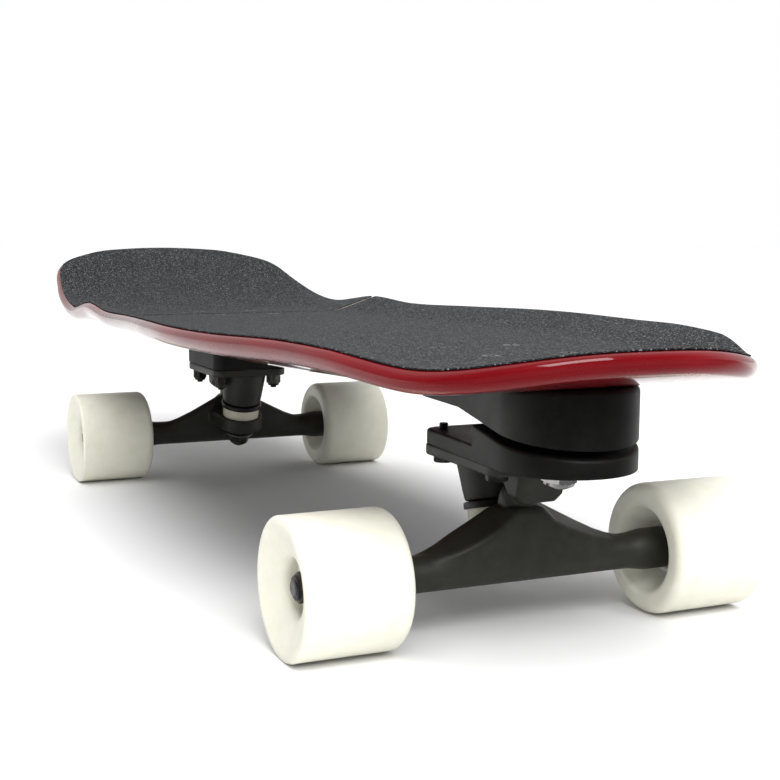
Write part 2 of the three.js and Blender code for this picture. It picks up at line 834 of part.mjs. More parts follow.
function kingpinSolid() {
  const headLow = kingpinHeadSeat + clearance;
  const headTop = headLow + kingpinHeadHeight;
  return join(
    solidFrom(rod(kingpinRadius, kingpinEnd, (headLow + headTop) / 2)),
    solidFrom(hexagon(kingpinHeadAcross, headLow, headTop)),
  );
}

// The pieces stacked on the kingpin, each about +Z from the ring's middle
function kingpinStack() {
  const nutBore = rod(kingpinRadius + clearance, -2 * overrun, overrun);
  const nut = hexagon(kingpinNutAcross, kingpinNutTop - kingpinNutHeight, kingpinNutTop);
  const boardsideEnd = seatFace + boardsideBushingHeight;
  const roadsideEnd = seatFace + roadsideBushingHeight;
  const cupRim = cupWasherRadius - washerThickness;
  return {
    kingpin: [kingpinSolid(), materials.blackSteel],
    kingpin_nut: [cut(solidFrom(nut), solidFrom(nutBore)), materials.blackSteel],
    boardside_bushing: [
      solidFrom(ring(bushingBoreRadius, boardsideBushingRadius, seatFace, boardsideEnd, fineSegments)),
      materials.creamUrethane,
    ],
    roadside_bushing: [
      solidFrom(turned([
        [bushingBoreRadius, -roadsideEnd],
        [roadsideBushingEndRadius, -roadsideEnd],
        [roadsideBushingRadius, -ringHalf - clearance],
        [roadsideBushingRadius, -seatFace],
        [bushingBoreRadius, -seatFace],
      ])),
      materials.blackUrethane,
    ],
    cup_washer: [
      solidFrom(turned([
        [bushingBoreRadius, cupWasherFace],
        [cupRim, cupWasherFace],
        [cupRim, cupWasherTop - cupWasherDepth],
        [cupWasherRadius, cupWasherTop - cupWasherDepth],
        [cupWasherRadius, cupWasherTop],
        [bushingBoreRadius, cupWasherTop],
      ], fineSegments)),
      materials.blackSteel,
    ],
    lower_washer: [
      solidFrom(ring(bushingBoreRadius, lowerWasherRadius, lowerWasherTop - washerThickness, lowerWasherTop)),
      materials.steel,
    ],
  };
}

function buildTruck(end) {
  const group = new THREE.Group();
  group.add(
    meshOf(end + "_baseplate", baseplateSolid(), materials.blackMetal),
    meshOf(end + "_pivot_cup", solidFrom(pivotCupSolid()), materials.blackUrethane),
    meshOf(end + "_hanger", hangerSolid(), materials.blackMetal),
    meshOf(end + "_axle", solidFrom(axleSolid()), materials.steel),
  );
  for (const [name, [solid, material]] of Object.entries(kingpinStack())) {
    const mesh = meshOf(end + "_" + name, solid, material);
    mesh.position.set(-ringSetback, 0, ringHeight);
    mesh.rotation.y = -kingpinLean * degree;
    group.add(mesh);
  }
  for (const [side, sideName] of [[1, "left"], [-1, "right"]]) {
    const turnedSide = end === "front" ? side : -side;
    const name = end + "_" + sideName;
    group.add(meshOf("axle_nut_" + name, axleNutSolid(turnedSide), materials.blackSteel));
    group.add(buildWheel(name, turnedSide));
  }
  group.position.x = end === "front" ? wheelbase / 2 : -wheelbase / 2;
  group.rotation.z = end === "front" ? 0 : 2 * quarterTurn;
  return group;
}

// Riser and surf adapter

// Everything above or below a plane that leans like the swivel and crosses its axis at a distance
function besideSwivelPlane(distance, direction) {
  const size = 2 * deckHalfWidth;
  return onSwivel(block(size, size, size).translate(0, 0, distance + (direction * size) / 2));
}

function onSwivel(geometry) {
  return leaned(geometry, swivelLean * degree, patternMiddle + swivelReach, baseplateTop);
}

// Everything above the deck's underside, less the gap under it
function aboveDeckPlane() {
  const size = 2 * deckHalfWidth;
  const tilt = -Math.atan(deckSlope);
  const raised = block(2 * deckLength, size, size).translate(0, 0, size / 2 - clearance);
  return raised.rotateY(tilt).translate(0, 0, deckLevel);
}

// A pad with two rounded corners at the rear and a drum at the front, under a top that may slope along X
function padHull(rear, low, topAt) {
  const cornerX = patternMiddle - rear + adapterCorner;
  const cornerY = adapterHalfWidth - adapterCorner;
  const outlineAt = (inset) => [
    ...arcPoints(drumMiddle, 0, 0, drumRadius - inset, -quarterTurn, quarterTurn, fineSegments / 2),
    ...arcPoints(cornerX, cornerY, 0, adapterCorner - inset, quarterTurn, 2 * quarterTurn, 4),
    ...arcPoints(cornerX, -cornerY, 0, adapterCorner - inset, -quarterTurn, -2 * quarterTurn, 4),
  ];
  const points = [];
  for (const [inset, rise] of [[adapterBevel, 0], [0, adapterBevel]]) {
    for (const { x, y } of outlineAt(inset)) {
      points.push(new THREE.Vector3(x, y, low + rise), new THREE.Vector3(x, y, topAt(x) - rise));
    }
  }
  return solidFrom(hull(points));
}

function buildAdapter() {
  const gapLow = armWedgeHeight;
  const gapHigh = armWedgeHeight + swivelGap;
  const drumLow = baseplateTop + gapHigh - drumRadius * Math.sin(swivelLean * degree) - adapterBevel;
  const size = 2 * deckHalfWidth;
  const stepZ = baseplateTop + adapterStepHeight;
  const underStep = solidFrom(block(2 * size, size, size).translate(patternMiddle, 0, stepZ - size / 2));
  const underside = underStep.intersect(solidFrom(besideSwivelPlane(gapHigh, -1)));
  const shaftHole = onSwivel(rod(swivelBoltRadius + clearance, -overrun, 3 * overrun));
  const bearingSeat = swivelHeadSeat - swivelBearingHeight - clearance;
  const bearingHole = onSwivel(rod(swivelBearingRadius + clearance, bearingSeat, 4 * overrun, fineSegments));
  const recesses = frontBoltPlaces().map((place) =>
    holeAt(place, nutRecessRadius, baseplateTop, stepZ + nutRecessDepth),
  );
  const holes = frontBoltPlaces().map((place) => holeAt(place, boltHoleRadius, baseplateTop, rearSeat + size));
  const base = cut(
    padHull(adapterRear, drumLow, (x) => deckLevel + deckSlope * x - clearance),
    underside,
    solidFrom(shaftHole),
    solidFrom(bearingHole),
    ...recesses,
    ...holes,
  );
  const thrustLow = gapLow - thrustSeatDepth + clearance;
  const thrust = onSwivel(
    ring(swivelBoltRadius + clearance, thrustRadius, thrustLow, gapHigh - clearance, fineSegments),
  );
  const bearing = onSwivel(
    ring(swivelBoltRadius + clearance, swivelBearingRadius, bearingSeat + clearance, swivelHeadSeat, fineSegments),
  );
  return [
    meshOf("adapter_base", base, materials.blackMetal),
    meshOf("thrust_bearing", solidFrom(thrust), materials.blackSteel),
    meshOf("swivel_bearing", solidFrom(bearing), materials.steel),
  ];
}

function buildArm() {
  const low = baseplateTop + clearance;
  const size = 2 * deckHalfWidth;
  const plateTop = baseplateTop + armPlateThickness;
  const behindWedge = block(size, size, size)
    .translate(patternMiddle + armWedgeStart - size / 2, 0, plateTop + size / 2);
  const boltTop = plateTop + truckBoltStub + clearance;
  const holes = patternPlaces(patternMiddle).map((place) => holeAt(place, boltHoleRadius, 0, boltTop));
  const thrustSeat = rod(thrustRadius + clearance, armWedgeHeight - thrustSeatDepth, 3 * overrun, fineSegments);
  return cut(
    padHull(armRear, low, () => frontSeat),
    solidFrom(besideSwivelPlane(armWedgeHeight, 1)),
    solidFrom(behindWedge),
    solidFrom(onSwivel(rod(swivelBoltRadius + clearance, -overrun, 3 * overrun))),
    solidFrom(onSwivel(thrustSeat)),
    solidFrom(onSwivel(rod(swivelSpotRadius, -overrun, swivelSpotDepth, fineSegments))),
    ...holes,
  );
}

function swivelBoltSolid() {
  const end = swivelNutLow - swivelBoltTail;
  const headLow = swivelHeadSeat + clearance;
  const headTop = headLow + swivelBoltHeadHeight;
  const shaft = rod(swivelBoltRadius, end, (headLow + headTop) / 2);
  const head = hexagon(swivelBoltHeadAcross, headLow, headTop);
  return join(solidFrom(onSwivel(shaft)), solidFrom(onSwivel(head)));
}

function swivelNutSolid() {
  const washerTop = swivelSpotDepth - clearance;
  const nutTop = washerTop - swivelWasherThickness;
  const washer = onSwivel(rod(swivelWasherRadius, nutTop, washerTop, fineSegments));
  const nut = onSwivel(hexagon(swivelNutAcross, swivelNutLow, (nutTop + washerTop) / 2));
  const bore = onSwivel(rod(swivelBoltRadius + clearance, -2 * overrun, 2 * overrun));
  return cut(join(solidFrom(washer), solidFrom(nut)), solidFrom(bore));
}

function riserSolid() {
  const low = baseplateTop + clearance;
  const high = frontSeat;
  const slab = roundedSlab(riserLength, flangeWidth, flangeCorner, low, high).translate(-patternMiddle, 0, 0);
  const holes = rearBoltPlaces().map((place) => holeAt(place, boltHoleRadius, 0, 2 * high));
  return cut(solidFrom(slab), solidFrom(aboveDeckPlane()), ...holes);
}

// Fasteners

// A countersunk bolt from its head's top down, with its lock nut
function deckBoltSolid([x, y], top, nutTop) {
  const nutLow = nutTop - lockNutHeight;
  const domeLow = nutLow - lockNutHeight * lockNutDomeShare;
  const corner = lockNutAcross / Math.sqrt(3);
  const bolt = turned([
    [0, domeLow - boltTail],
    [boltRadius, domeLow - boltTail],
    [boltRadius, top - deckBoltHeadHeight],
    [deckBoltHeadRadius, top],
    [0, top],
  ], boltSegments);
  const nut = hexagon(lockNutAcross, nutLow, nutTop);
  const dome = turned([
    [0, domeLow],
    [corner * lockNutDomeRadiusShare * lockNutDomeRadiusShare, domeLow],
    [corner * lockNutDomeRadiusShare, nutLow],
    [0, nutLow],
  ], boltSegments);
  return join(solidFrom(bolt), solidFrom(nut), solidFrom(dome)).translate([x, y, 0]);
}

// A bolt with its head under the truck's flange and its end above the arm's plate
function truckBoltSolid([x, y]) {
  const headTop = baseplateTop - flangeThickness - clearance;
  const stubTop = baseplateTop + armPlateThickness + truckBoltStub;
  const bolt = rod(boltRadius, headTop - truckBoltHeadHeight, stubTop, boltSegments);
  const head = hexagon(lockNutAcross, headTop - truckBoltHeadHeight, headTop);
  return join(solidFrom(bolt), solidFrom(head)).translate([x, y, 0]);
}

function buildFasteners() {
  const meshes = [];
  const flangeUnder = baseplateTop - flangeThickness - clearance;
  const recessCeiling = baseplateTop + adapterStepHeight + nutRecessDepth - clearance;
  frontBoltPlaces().forEach((place, i) => {
    const bolt = deckBoltSolid(place, gripTop(...place), recessCeiling);
    meshes.push(meshOf("adapter_bolt_" + placeNames[i], bolt, materials.blackSteel));
  });
  rearBoltPlaces().forEach((place, i) => {
    const bolt = deckBoltSolid(place, gripTop(...place), flangeUnder);
    meshes.push(meshOf("rear_deck_bolt_" + placeNames[i], bolt, materials.blackSteel));
  });
  patternPlaces(patternMiddle).forEach((place, i) => {
    meshes.push(meshOf("truck_bolt_" + placeNames[i], truckBoltSolid(place), materials.blackSteel));
  });
  return meshes;
}

function buildBoard() {
  const board = new THREE.Group();
  board.add(
    ...buildDeck(),
    meshOf("rear_riser", riserSolid(), materials.greyPlastic),
    ...buildAdapter(),
    meshOf("swing_arm", buildArm(), materials.blackMetal),
    meshOf("swivel_bolt", swivelBoltSolid(), materials.steel),
    meshOf("swivel_nut", swivelNutSolid(), materials.steel),
    buildTruck("front"),
    buildTruck("rear"),
    ...buildFasteners(),
  );
  board.position.x = (deckTail - deckNose) / 2;
  return board;
}

export default buildBoard();
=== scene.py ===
import math

import bmesh
import bpy
import numpy as np
from mathutils import Matrix, Vector


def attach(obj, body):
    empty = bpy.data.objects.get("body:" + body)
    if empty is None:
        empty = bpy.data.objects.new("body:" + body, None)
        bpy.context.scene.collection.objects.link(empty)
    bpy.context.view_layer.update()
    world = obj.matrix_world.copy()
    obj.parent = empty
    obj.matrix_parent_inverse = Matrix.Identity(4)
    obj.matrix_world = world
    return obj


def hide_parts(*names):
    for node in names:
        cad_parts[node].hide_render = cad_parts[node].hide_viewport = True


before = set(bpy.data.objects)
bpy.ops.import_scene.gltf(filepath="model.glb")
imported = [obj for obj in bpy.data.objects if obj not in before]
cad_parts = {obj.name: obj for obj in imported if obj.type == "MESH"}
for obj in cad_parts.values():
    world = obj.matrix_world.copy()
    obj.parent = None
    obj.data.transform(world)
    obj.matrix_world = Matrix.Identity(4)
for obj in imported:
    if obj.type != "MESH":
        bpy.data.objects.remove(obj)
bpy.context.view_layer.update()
print("frame loaded:", len(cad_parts), "nodes")

mm = 0.001

# Places shared by all pieces, in millimetres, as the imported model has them
board = {
    "middle": 54,  # the middle between the trucks
    "wheelbase": 450.5,
    "axleHeight": 32.5,
    "plateTop": 84.5,  # top of both baseplates
    "patternSetback": 14.25,  # of a bolt pattern behind its axle
    "patternLength": 54,
    "patternWidth": 41.3,
    "riserHeight": 29,
    "adapterHeight": 36.7,
    "clearance": 0.3,
    "touch": 0.02,  # left between pieces that are screwed together
    "boltHole": 2.8,
}
patternMiddle = board["wheelbase"] / 2 - board["patternSetback"]
rearSeat = board["plateTop"] + board["riserHeight"]
frontSeat = board["plateTop"] + board["adapterHeight"]
deckSlope = (frontSeat - rearSeat) / (2 * patternMiddle)
deckLevel = (frontSeat + rearSeat) / 2
gap = board["clearance"]
touch = board["touch"]
far = 300  # past any cut
overlap = 1  # by which a shank runs on into its head, or one cut goes past another

# Degrees from which the edge between two faces is drawn sharp
plainSharp, screwSharp, turnedSharp, sheetSharp, blankSharp = 32, 35, 40, 50, 60


# Frames: a turned piece is made standing on +Z and is then put in place

def shifted(x, y, z):
    return Matrix.Translation((x, y, z))


def turnedBy(degrees, axis):
    return Matrix.Rotation(math.radians(degrees), 4, axis)


ringPlace = {"setback": 23.25, "height": 42.7, "kingpinLean": 15, "steeringLean": 45}
swivelPlace = {"reach": 47.5, "lean": 8}
swivelTilt = math.radians(swivelPlace["lean"])
drumMiddle = patternMiddle + swivelPlace["reach"] + math.tan(swivelTilt) * board["adapterHeight"] / 2

boardFrame = shifted(board["middle"], 0, 0)
ringFrame = shifted(-ringPlace["setback"], 0, ringPlace["height"])
kingpinFrame = ringFrame @ turnedBy(-ringPlace["kingpinLean"], "Y")
steeringFrame = ringFrame @ turnedBy(ringPlace["steeringLean"], "Y")
swivelFrame = (
    shifted(board["middle"] + patternMiddle + swivelPlace["reach"], 0, board["plateTop"])
    @ turnedBy(swivelPlace["lean"], "Y")
)
truckFrames = {
    "front": shifted(board["middle"] + board["wheelbase"] / 2, 0, 0),
    "rear": shifted(board["middle"] - board["wheelbase"] / 2, 0, 0) @ turnedBy(180, "Z"),
}
axleFrames = {end: place @ shifted(0, 0, board["axleHeight"]) for end, place in truckFrames.items()}
sideFrames = {}  # +Z of each points outwards along the axle
for end, toLeft in (("front", -90), ("rear", 90)):
    for side, turn in (("left", toLeft), ("right", -toLeft)):
        sideFrames[end + "_" + side] = axleFrames[end] @ turnedBy(turn, "X")


# Shapes: lists of points in millimetres and faces, joined and placed before they become meshes

def placed(shape, place):
    points, faces = shape
    return [place @ Vector(point) for point in points], faces


def combined(*shapes):
    points, faces = [], []
    for morePoints, moreFaces in shapes:
        start = len(points)
        points += [Vector(point) for point in morePoints]
        faces += [[start + corner for corner in face] for face in moreFaces]
    return points, faces


def linkNew(name, data):
    made = bpy.data.objects.new(name, data)
    bpy.context.scene.collection.objects.link(made)
    return made


def newPiece(name, shape, sharpAngle=plainSharp):
    points, faces = shape
    mesh = bpy.data.meshes.new(name)
    mesh.from_pydata([Vector(point) * mm for point in points], [], faces)
    piece = linkNew(name, mesh)
    cleanMesh(piece, sharpAngle)
    return piece


def cleanMesh(piece, sharpAngle=plainSharp, mergeDistance=0.002):
    shape = bmesh.new()
    shape.from_mesh(piece.data)
    bmesh.ops.remove_doubles(shape, verts=shape.verts, dist=mergeDistance * mm)
    bmesh.ops.dissolve_degenerate(shape, edges=shape.edges, dist=mergeDistance * mm)
    bmesh.ops.holes_fill(shape, edges=[edge for edge in shape.edges if edge.is_boundary], sides=0)
    bmesh.ops.recalc_face_normals(shape, faces=shape.faces)
    shape.to_mesh(piece.data)
    shape.free()
    piece.data.shade_smooth()
    piece.data.set_sharp_from_angle(angle=math.radians(sharpAngle))


def roundCorners(corners, steps=4, reachShare=0.48):
    # Each corner is (x, y, radius) of a closed outline
    path = []
    for i, (x, y, radius) in enumerate(corners):
        here = Vector((x, y))
        before = Vector(corners[i - 1][:2]) - here
        after = Vector(corners[(i + 1) % len(corners)][:2]) - here
        if radius == 0:
            path.append((x, y))
            continue
        half = before.angle(after) / 2
        reach = min(radius / math.tan(half), before.length * reachShare, after.length * reachShare)
        bisector = (before.normalized() + after.normalized()).normalized()
        middle = here + bisector * (reach / math.cos(half))
        start = here + before.normalized() * reach - middle
        end = here + after.normalized() * reach - middle
        sweep = math.atan2(start.x * end.y - start.y * end.x, start.dot(end))
        for k in range(steps + 1):
            path.append(tuple(middle + Matrix.Rotation(sweep * k / steps, 2) @ start))
    return path


def ringFaces(rings, count):
    # Quads between neighbouring rings of points
    faces = []
    for j in range(rings - 1):
        for i in range(count):
            a, b = j * count + i, j * count + (i + 1) % count
            faces.append([a, b, b + count, a + count])
    return faces


def loftShape(rings, closedEnds=True):
    count = len(rings[0])
    points = [Vector(point) for ring in rings for point in ring]
    faces = ringFaces(len(rings), count)
    if closedEnds:
        faces.append(list(range(count)))
        faces.append(list(range((len(rings) - 1) * count, len(rings) * count)))
    return points, faces


def polar(radius, angle, z):
    return Vector((radius * math.cos(angle), radius * math.sin(angle), z))


def turnedShape(corners, steps=96, cornerSteps=4):
    # Corners are (radius, height, fillet) of a closed profile about +Z
    profile = roundCorners(corners, cornerSteps)
    angles = [2 * math.pi * i / steps for i in range(steps + 1)]
    return loftShape([[polar(r, angle, z) for r, z in profile] for angle in angles], closedEnds=False)


def rodShape(radius, low, high, fillet=0, steps=48):
    return turnedShape([(0, low, 0), (radius, low, fillet), (radius, high, fillet), (0, high, 0)], steps)


def rodsIn(place, *rods):
    # Each rod is (radius, low, high), and a fillet and a number of steps may follow
    return [placed(rodShape(*rod), place) for rod in rods]


def tubeShape(bore, radius, low, high, fillet=0.4):
    edge = fillet / 2
    return turnedShape([
        (bore, low, edge), (radius, low, fillet), (radius, high, fillet), (bore, high, edge),
    ], 72)


nut = {
    "coneShare": 0.97, "chamferShare": 0.55,  # where a hexagon's corners are turned off, and how steeply
    "collarShare": 0.22, "wallShare": 0.7, "edge": 0.2, "outerEdge": 0.8, "flare": 0.2,
}


def hexagonShape(across, low, high, bore=0.01, steps=72):
    # Flats face +X, and both ends are turned to a cone at the corners, as a real nut's are
    flat = across / 2
    cone = flat * nut["coneShare"]
    rings = []
    for i in range(steps + 1):
        angle = 2 * math.pi * i / steps
        wide = flat / math.cos((angle + math.pi / 6) % (math.pi / 3) - math.pi / 6)
        drop = max(0, wide - cone) * nut["chamferShare"]
        profile = [
            (bore, low), (cone, low), (wide, low + drop), (wide, high - drop), (cone, high), (bore, high), (bore, low),
        ]
        rings.append([polar(r, angle, z) for r, z in profile])
    points = [point for ring in rings for point in ring]
    return points, [face for face in ringFaces(steps + 1, len(profile)) if face[1] % len(profile)]


def lockNutShape(across, low, high, bore):
    # A hexagon with the round collar of its locking ring at the low end
    collar = (high - low) * nut["collarShare"]
    wide, top = bore + (across / 2 - bore) * nut["wallShare"], low + collar + touch
    ring = turnedShape([
        (bore, low, nut["edge"]), (wide, low, nut["outerEdge"]), (wide + nut["flare"], top, 0), (bore, top, 0),
    ], 48)
    return combined(hexagonShape(across, low + collar, high, bore), ring)


def hullShape(points):
    shape = bmesh.new()
    for point in points:
        shape.verts.new(point)
    made = bmesh.ops.convex_hull(shape, input=shape.verts)
    loose = set(made["geom_interior"]) | set(made["geom_unused"])
    bmesh.ops.delete(shape, geom=[item for item in loose if isinstance(item, bmesh.types.BMVert)], context="VERTS")
    shape.verts.index_update()
    result = [vert.co.copy() for vert in shape.verts], [[vert.index for vert in face.verts] for face in shape.faces]
    shape.free()
    return result


def circlePoints(radius, level, steps):
    return [polar(radius, 2 * math.pi * i / steps, level) for i in range(steps)]


def ballPoints(centre, radius, rows=8):
    latitudes = [math.pi * (i / rows - 0.5) for i in range(rows + 1)]
    return [
        Vector(centre) + point for latitude in latitudes
        for point in circlePoints(radius * math.cos(latitude), radius * math.sin(latitude), 2 * rows)
    ]


def blockShape(low, high):
    corners = [Vector((x, y, z)) for x in (low[0], high[0]) for y in (low[1], high[1]) for z in (low[2], high[2])]
    return corners, [[0, 1, 3, 2], [4, 6, 7, 5], [0, 4, 5, 1], [2, 3, 7, 6], [0, 2, 6, 4], [1, 5, 7, 3]]


# Mesh work

def bakeModifiers(piece):
    seen = piece.evaluated_get(bpy.context.evaluated_depsgraph_get())
    mesh = bpy.data.meshes.new_from_object(seen)
    old = piece.data
    piece.modifiers.clear()
    piece.data = mesh
    bpy.data.meshes.remove(old)


def modify(piece, *steps):
    # Each step is a kind of modifier with its settings
    for kind, settings in steps:
        modifier = piece.modifiers.new(kind.lower(), kind)
        for key, value in settings.items():
            setattr(modifier, key, value)
    bakeModifiers(piece)


def carve(piece, *shapes, operation="DIFFERENCE"):
    for shape in shapes:
        tool = newPiece("tool", shape)
        modify(piece, ("BOOLEAN", {"operation": operation, "solver": "EXACT", "object": tool}))
        bpy.data.objects.remove(tool)


def castSurface(piece, voxel, passes):
    # One skin over joined shapes, with its corners softened like a casting's
    skin = {"mode": "VOXEL", "voxel_size": voxel * mm}
    modify(piece, ("REMESH", skin), ("SMOOTH", {"factor": 0.5, "iterations": passes}))


def bevelEdges(piece, width, segments=3, angle=30):
    modify(piece, ("BEVEL", {
        "width": width * mm, "segments": segments, "limit_method": "ANGLE", "angle_limit": math.radians(angle),
        "use_clamp_overlap": True,
    }))


def finishPiece(piece, material, slot, body, *nodes):
    piece.data.materials.clear()
    piece.data.materials.append(material)
    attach(piece, body)
    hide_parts(*nodes)


def addPiece(name, shape, sharpAngle, *finish):
    finishPiece(newPiece(name, shape, sharpAngle), *finish)


def settlePiece(piece, place, sharpAngle, *finish):
    # Moves a piece made about the origin to its place, which is in millimetres
    inMetres = place.copy()
    inMetres.translation = place.translation * mm
    piece.data.transform(inMetres)
    cleanMesh(piece, sharpAngle)
    finishPiece(piece, *finish)


# Node helpers

def setInputs(tree, node, inputs):
    # A socket is linked, and anything else becomes the input's value
    for key, value in inputs.items():
        target = node.inputs[key]
        if isinstance(value, bpy.types.NodeSocket):
            tree.links.new(value, target)
        else:
            target.default_value = (*value, 1) if target.type == "RGBA" else value


def addNode(tree, kind, inputs=None, **settings):
    node = tree.nodes.new(kind)
    for key, value in settings.items():
        setattr(node, key, value)
    setInputs(tree, node, inputs or {})
    return node


def nodeOut(tree, kind, inputs=None, out=0, **settings):
    return addNode(tree, kind, inputs, **settings).outputs[out]


def nodeMath(tree, operation, first, second=0.0, third=0.0):
    return nodeOut(tree, "ShaderNodeMath", {0: first, 1: second, 2: third}, operation=operation)


def scaled(tree, value, factor, start=0.0):
    return nodeMath(tree, "MULTIPLY_ADD", value, factor, start)


def mapRange(tree, value, low, high, toLow=0.0, toHigh=1.0, **settings):
    return nodeOut(tree, "ShaderNodeMapRange", {
        "Value": value, "From Min": low, "From Max": high, "To Min": toLow, "To Max": toHigh,
    }, **settings)


def newTree(name, kind, inputs):
    # An input is given by its starting number, or else by the kind of its socket
    tree = bpy.data.node_groups.new(name, kind)
    for label, start in inputs.items():
        socket = start if isinstance(start, str) else "Int" if isinstance(start, int) else "Float"
        made = tree.interface.new_socket(label, in_out="INPUT", socket_type="NodeSocket" + socket)
        if socket != start:
            made.default_value = start
    return tree, addNode(tree, "NodeGroupInput").outputs


def endTree(tree, outputs, socket="Float"):
    for label in outputs:
        tree.interface.new_socket(label, in_out="OUTPUT", socket_type="NodeSocket" + socket)
    addNode(tree, "NodeGroupOutput", outputs)
    return tree


# Shader groups shared by the materials: each reads Object coordinates, in metres

def noiseMask(tree, scale, detail, low, high, roughness=0.6):
    place = nodeOut(tree, "ShaderNodeTexCoord", out="Object")
    noise = nodeOut(tree, "ShaderNodeTexNoise", {
        "Vector": place, "Scale": scale, "Detail": detail, "Roughness": roughness,
    }, out="Fac")
    return mapRange(tree, noise, low, high)


def makeGrainGroup():
    # Fine bumps of a coat or a moulding, with a slower swell under them
    tree, given = newTree("surfaceGrain", "ShaderNodeTree", {
        "Grain Scale": 1500.0, "Swell Scale": 120.0, "Swell": 0.5,
    })
    fine = noiseMask(tree, given["Grain Scale"], 3, 0.3, 0.7)
    slow = noiseMask(tree, given["Swell Scale"], 2, 0.3, 0.7)
    return endTree(tree, {"Height": nodeMath(tree, "MULTIPLY_ADD", slow, given["Swell"], fine), "Tone": slow})


def makeWearGroup():
    # Rubbed corners: where the surface turns sharply, broken up by a noise
    tree, given = newTree("edgeWear", "ShaderNodeTree", {"Start": 0.53, "Full": 0.62, "Patch Scale": 400.0})
    corner = nodeOut(tree, "ShaderNodeNewGeometry", out="Pointiness")
    edge = mapRange(tree, corner, given["Start"], given["Full"])
    patches = noiseMask(tree, given["Patch Scale"], 4, 0.4, 0.62)
    return endTree(tree, {"Mask": nodeMath(tree, "MULTIPLY", edge, patches)})


def makeSmudgeGroup():
    # Handling marks and thin dust, in large soft patches with fine specks
    tree, given = newTree("smudges", "ShaderNodeTree", {"Patch Scale": 25.0, "Speck Scale": 900.0})
    return endTree(tree, {
        "Patches": noiseMask(tree, given["Patch Scale"], 5, 0.35, 0.7, 0.65),
        "Specks": noiseMask(tree, given["Speck Scale"], 2, 0.66, 0.74),
    })


def makeGritGroup():
    # Grains of a grip sheet: each cell is one grain with its own brightness. The Bright mask picks cells for painted
    # glints, where grains would catch the light
    tree, given = newTree("gritGrainsWithPaintedGlints", "ShaderNodeTree", {"Grain Scale": 1500.0, "Bright From": 0.8})
    place = nodeOut(tree, "ShaderNodeTexCoord", out="Object")
    cells = addNode(tree, "ShaderNodeTexVoronoi", {"Vector": place, "Scale": given["Grain Scale"]}).outputs
    chance = addNode(tree, "ShaderNodeSeparateColor", {0: cells["Color"]}).outputs
    return endTree(tree, {
        "Grain": chance[0], "Bright": mapRange(tree, chance[1], given["Bright From"], 1.0),
        "Height": nodeMath(tree, "SUBTRACT", 1.0, cells["Distance"]),
    })


grainGroup = makeGrainGroup()
wearGroup = makeWearGroup()
smudgeGroup = makeSmudgeGroup()
gritGroup = makeGritGroup()


# Materials

def placeGroup(tree, group, values=None):
    return addNode(tree, "ShaderNodeGroup", values, node_tree=group).outputs


def mixColors(tree, share, first, second):
    return nodeOut(tree, "ShaderNodeMixRGB", {"Fac": share, "Color1": first, "Color2": second})


def bumpFrom(tree, height, strength, distance):
    return nodeOut(tree, "ShaderNodeBump", {"Height": height, "Strength": strength, "Distance": distance * mm})


def newMaterial(name, settings):
    material = bpy.data.materials.new(name)
    material.use_nodes = True
    shader = material.node_tree.nodes["Principled BSDF"]
    setInputs(material.node_tree, shader, settings)
    return material, material.node_tree, shader


def coatedMaterial(name, look, settings):
    # A coat, metal or moulding with grain, patches, specks and rubbed corners
    material, tree, shader = newMaterial(name, settings)
    grain = placeGroup(tree, grainGroup, {"Grain Scale": look["grain"], "Swell Scale": look["swell"]})
    smudge = placeGroup(tree, smudgeGroup, {"Patch Scale": look["patches"]})
    wear = placeGroup(tree, wearGroup)
    toned = mixColors(tree, grain["Tone"], look["color"], look["tone"])
    dusty = mixColors(tree, scaled(tree, smudge["Specks"], look["dust"]), toned, look["dustColor"])
    setInputs(tree, shader, {
        "Base Color": mixColors(tree, scaled(tree, wear["Mask"], look["wear"]), dusty, look["wornColor"]),
        "Roughness": scaled(tree, smudge["Patches"], look["roughRange"], look["roughness"]),
        "Normal": bumpFrom(tree, grain["Height"], look["bump"], look["bumpHeight"]),
    })
    return material


plainLook = {
    "grain": 1500, "swell": 120, "patches": 25, "dust": 0.25, "wear": 0.5, "bump": 0.25, "bumpHeight": 0.08,
    "dustColor": (0.3, 0.3, 0.29),
}
castLook = {
    **plainLook, "roughness": 0.44, "roughRange": 0.12, "dust": 0.03, "bump": 0.35, "wornColor": (0.04, 0.04, 0.037),
}
# Black paint of the adapter and the arm: the same paint as the trucks', painted several times darker to stand in for
# the shade the deck casts on them
castBlackWithPaintedShade = coatedMaterial("satinBlackCastingWithPaintedShade", {
    **castLook, "color": (0.003, 0.003, 0.0028), "tone": (0.006, 0.006, 0.0055),
}, {"Specular IOR Level": 0.28})
truckBlack = coatedMaterial("truckBlackCasting", {
    **castLook, "color": (0.02, 0.0205, 0.0155), "tone": (0.028, 0.0285, 0.022),
}, {"Specular IOR Level": 0.4})
steelBlack = coatedMaterial("blackOxideSteel", {
    **plainLook, "color": (0.018, 0.018, 0.019), "tone": (0.032, 0.031, 0.03), "wornColor": (0.3, 0.29, 0.27),
    "roughness": 0.28, "roughRange": 0.2, "dust": 0.08, "wear": 0.3, "grain": 2400, "bumpHeight": 0.03,
}, {"Metallic": 0.75})
brightSteel = coatedMaterial("zincBrightSteel", {
    **plainLook, "color": (0.62, 0.62, 0.61), "tone": (0.5, 0.5, 0.5), "wornColor": (0.78, 0.78, 0.77),
    "roughness": 0.2, "roughRange": 0.15, "dust": 0.08, "grain": 2400, "bumpHeight": 0.02,
}, {"Metallic": 1.0})
dullSteel = coatedMaterial("dullSteel", {
    **plainLook, "color": (0.2, 0.2, 0.2), "tone": (0.13, 0.13, 0.13), "wornColor": (0.35, 0.35, 0.35),
    "roughness": 0.4, "roughRange": 0.15, "dust": 0.1, "grain": 2400, "bumpHeight": 0.02,
}, {"Metallic": 0.9})
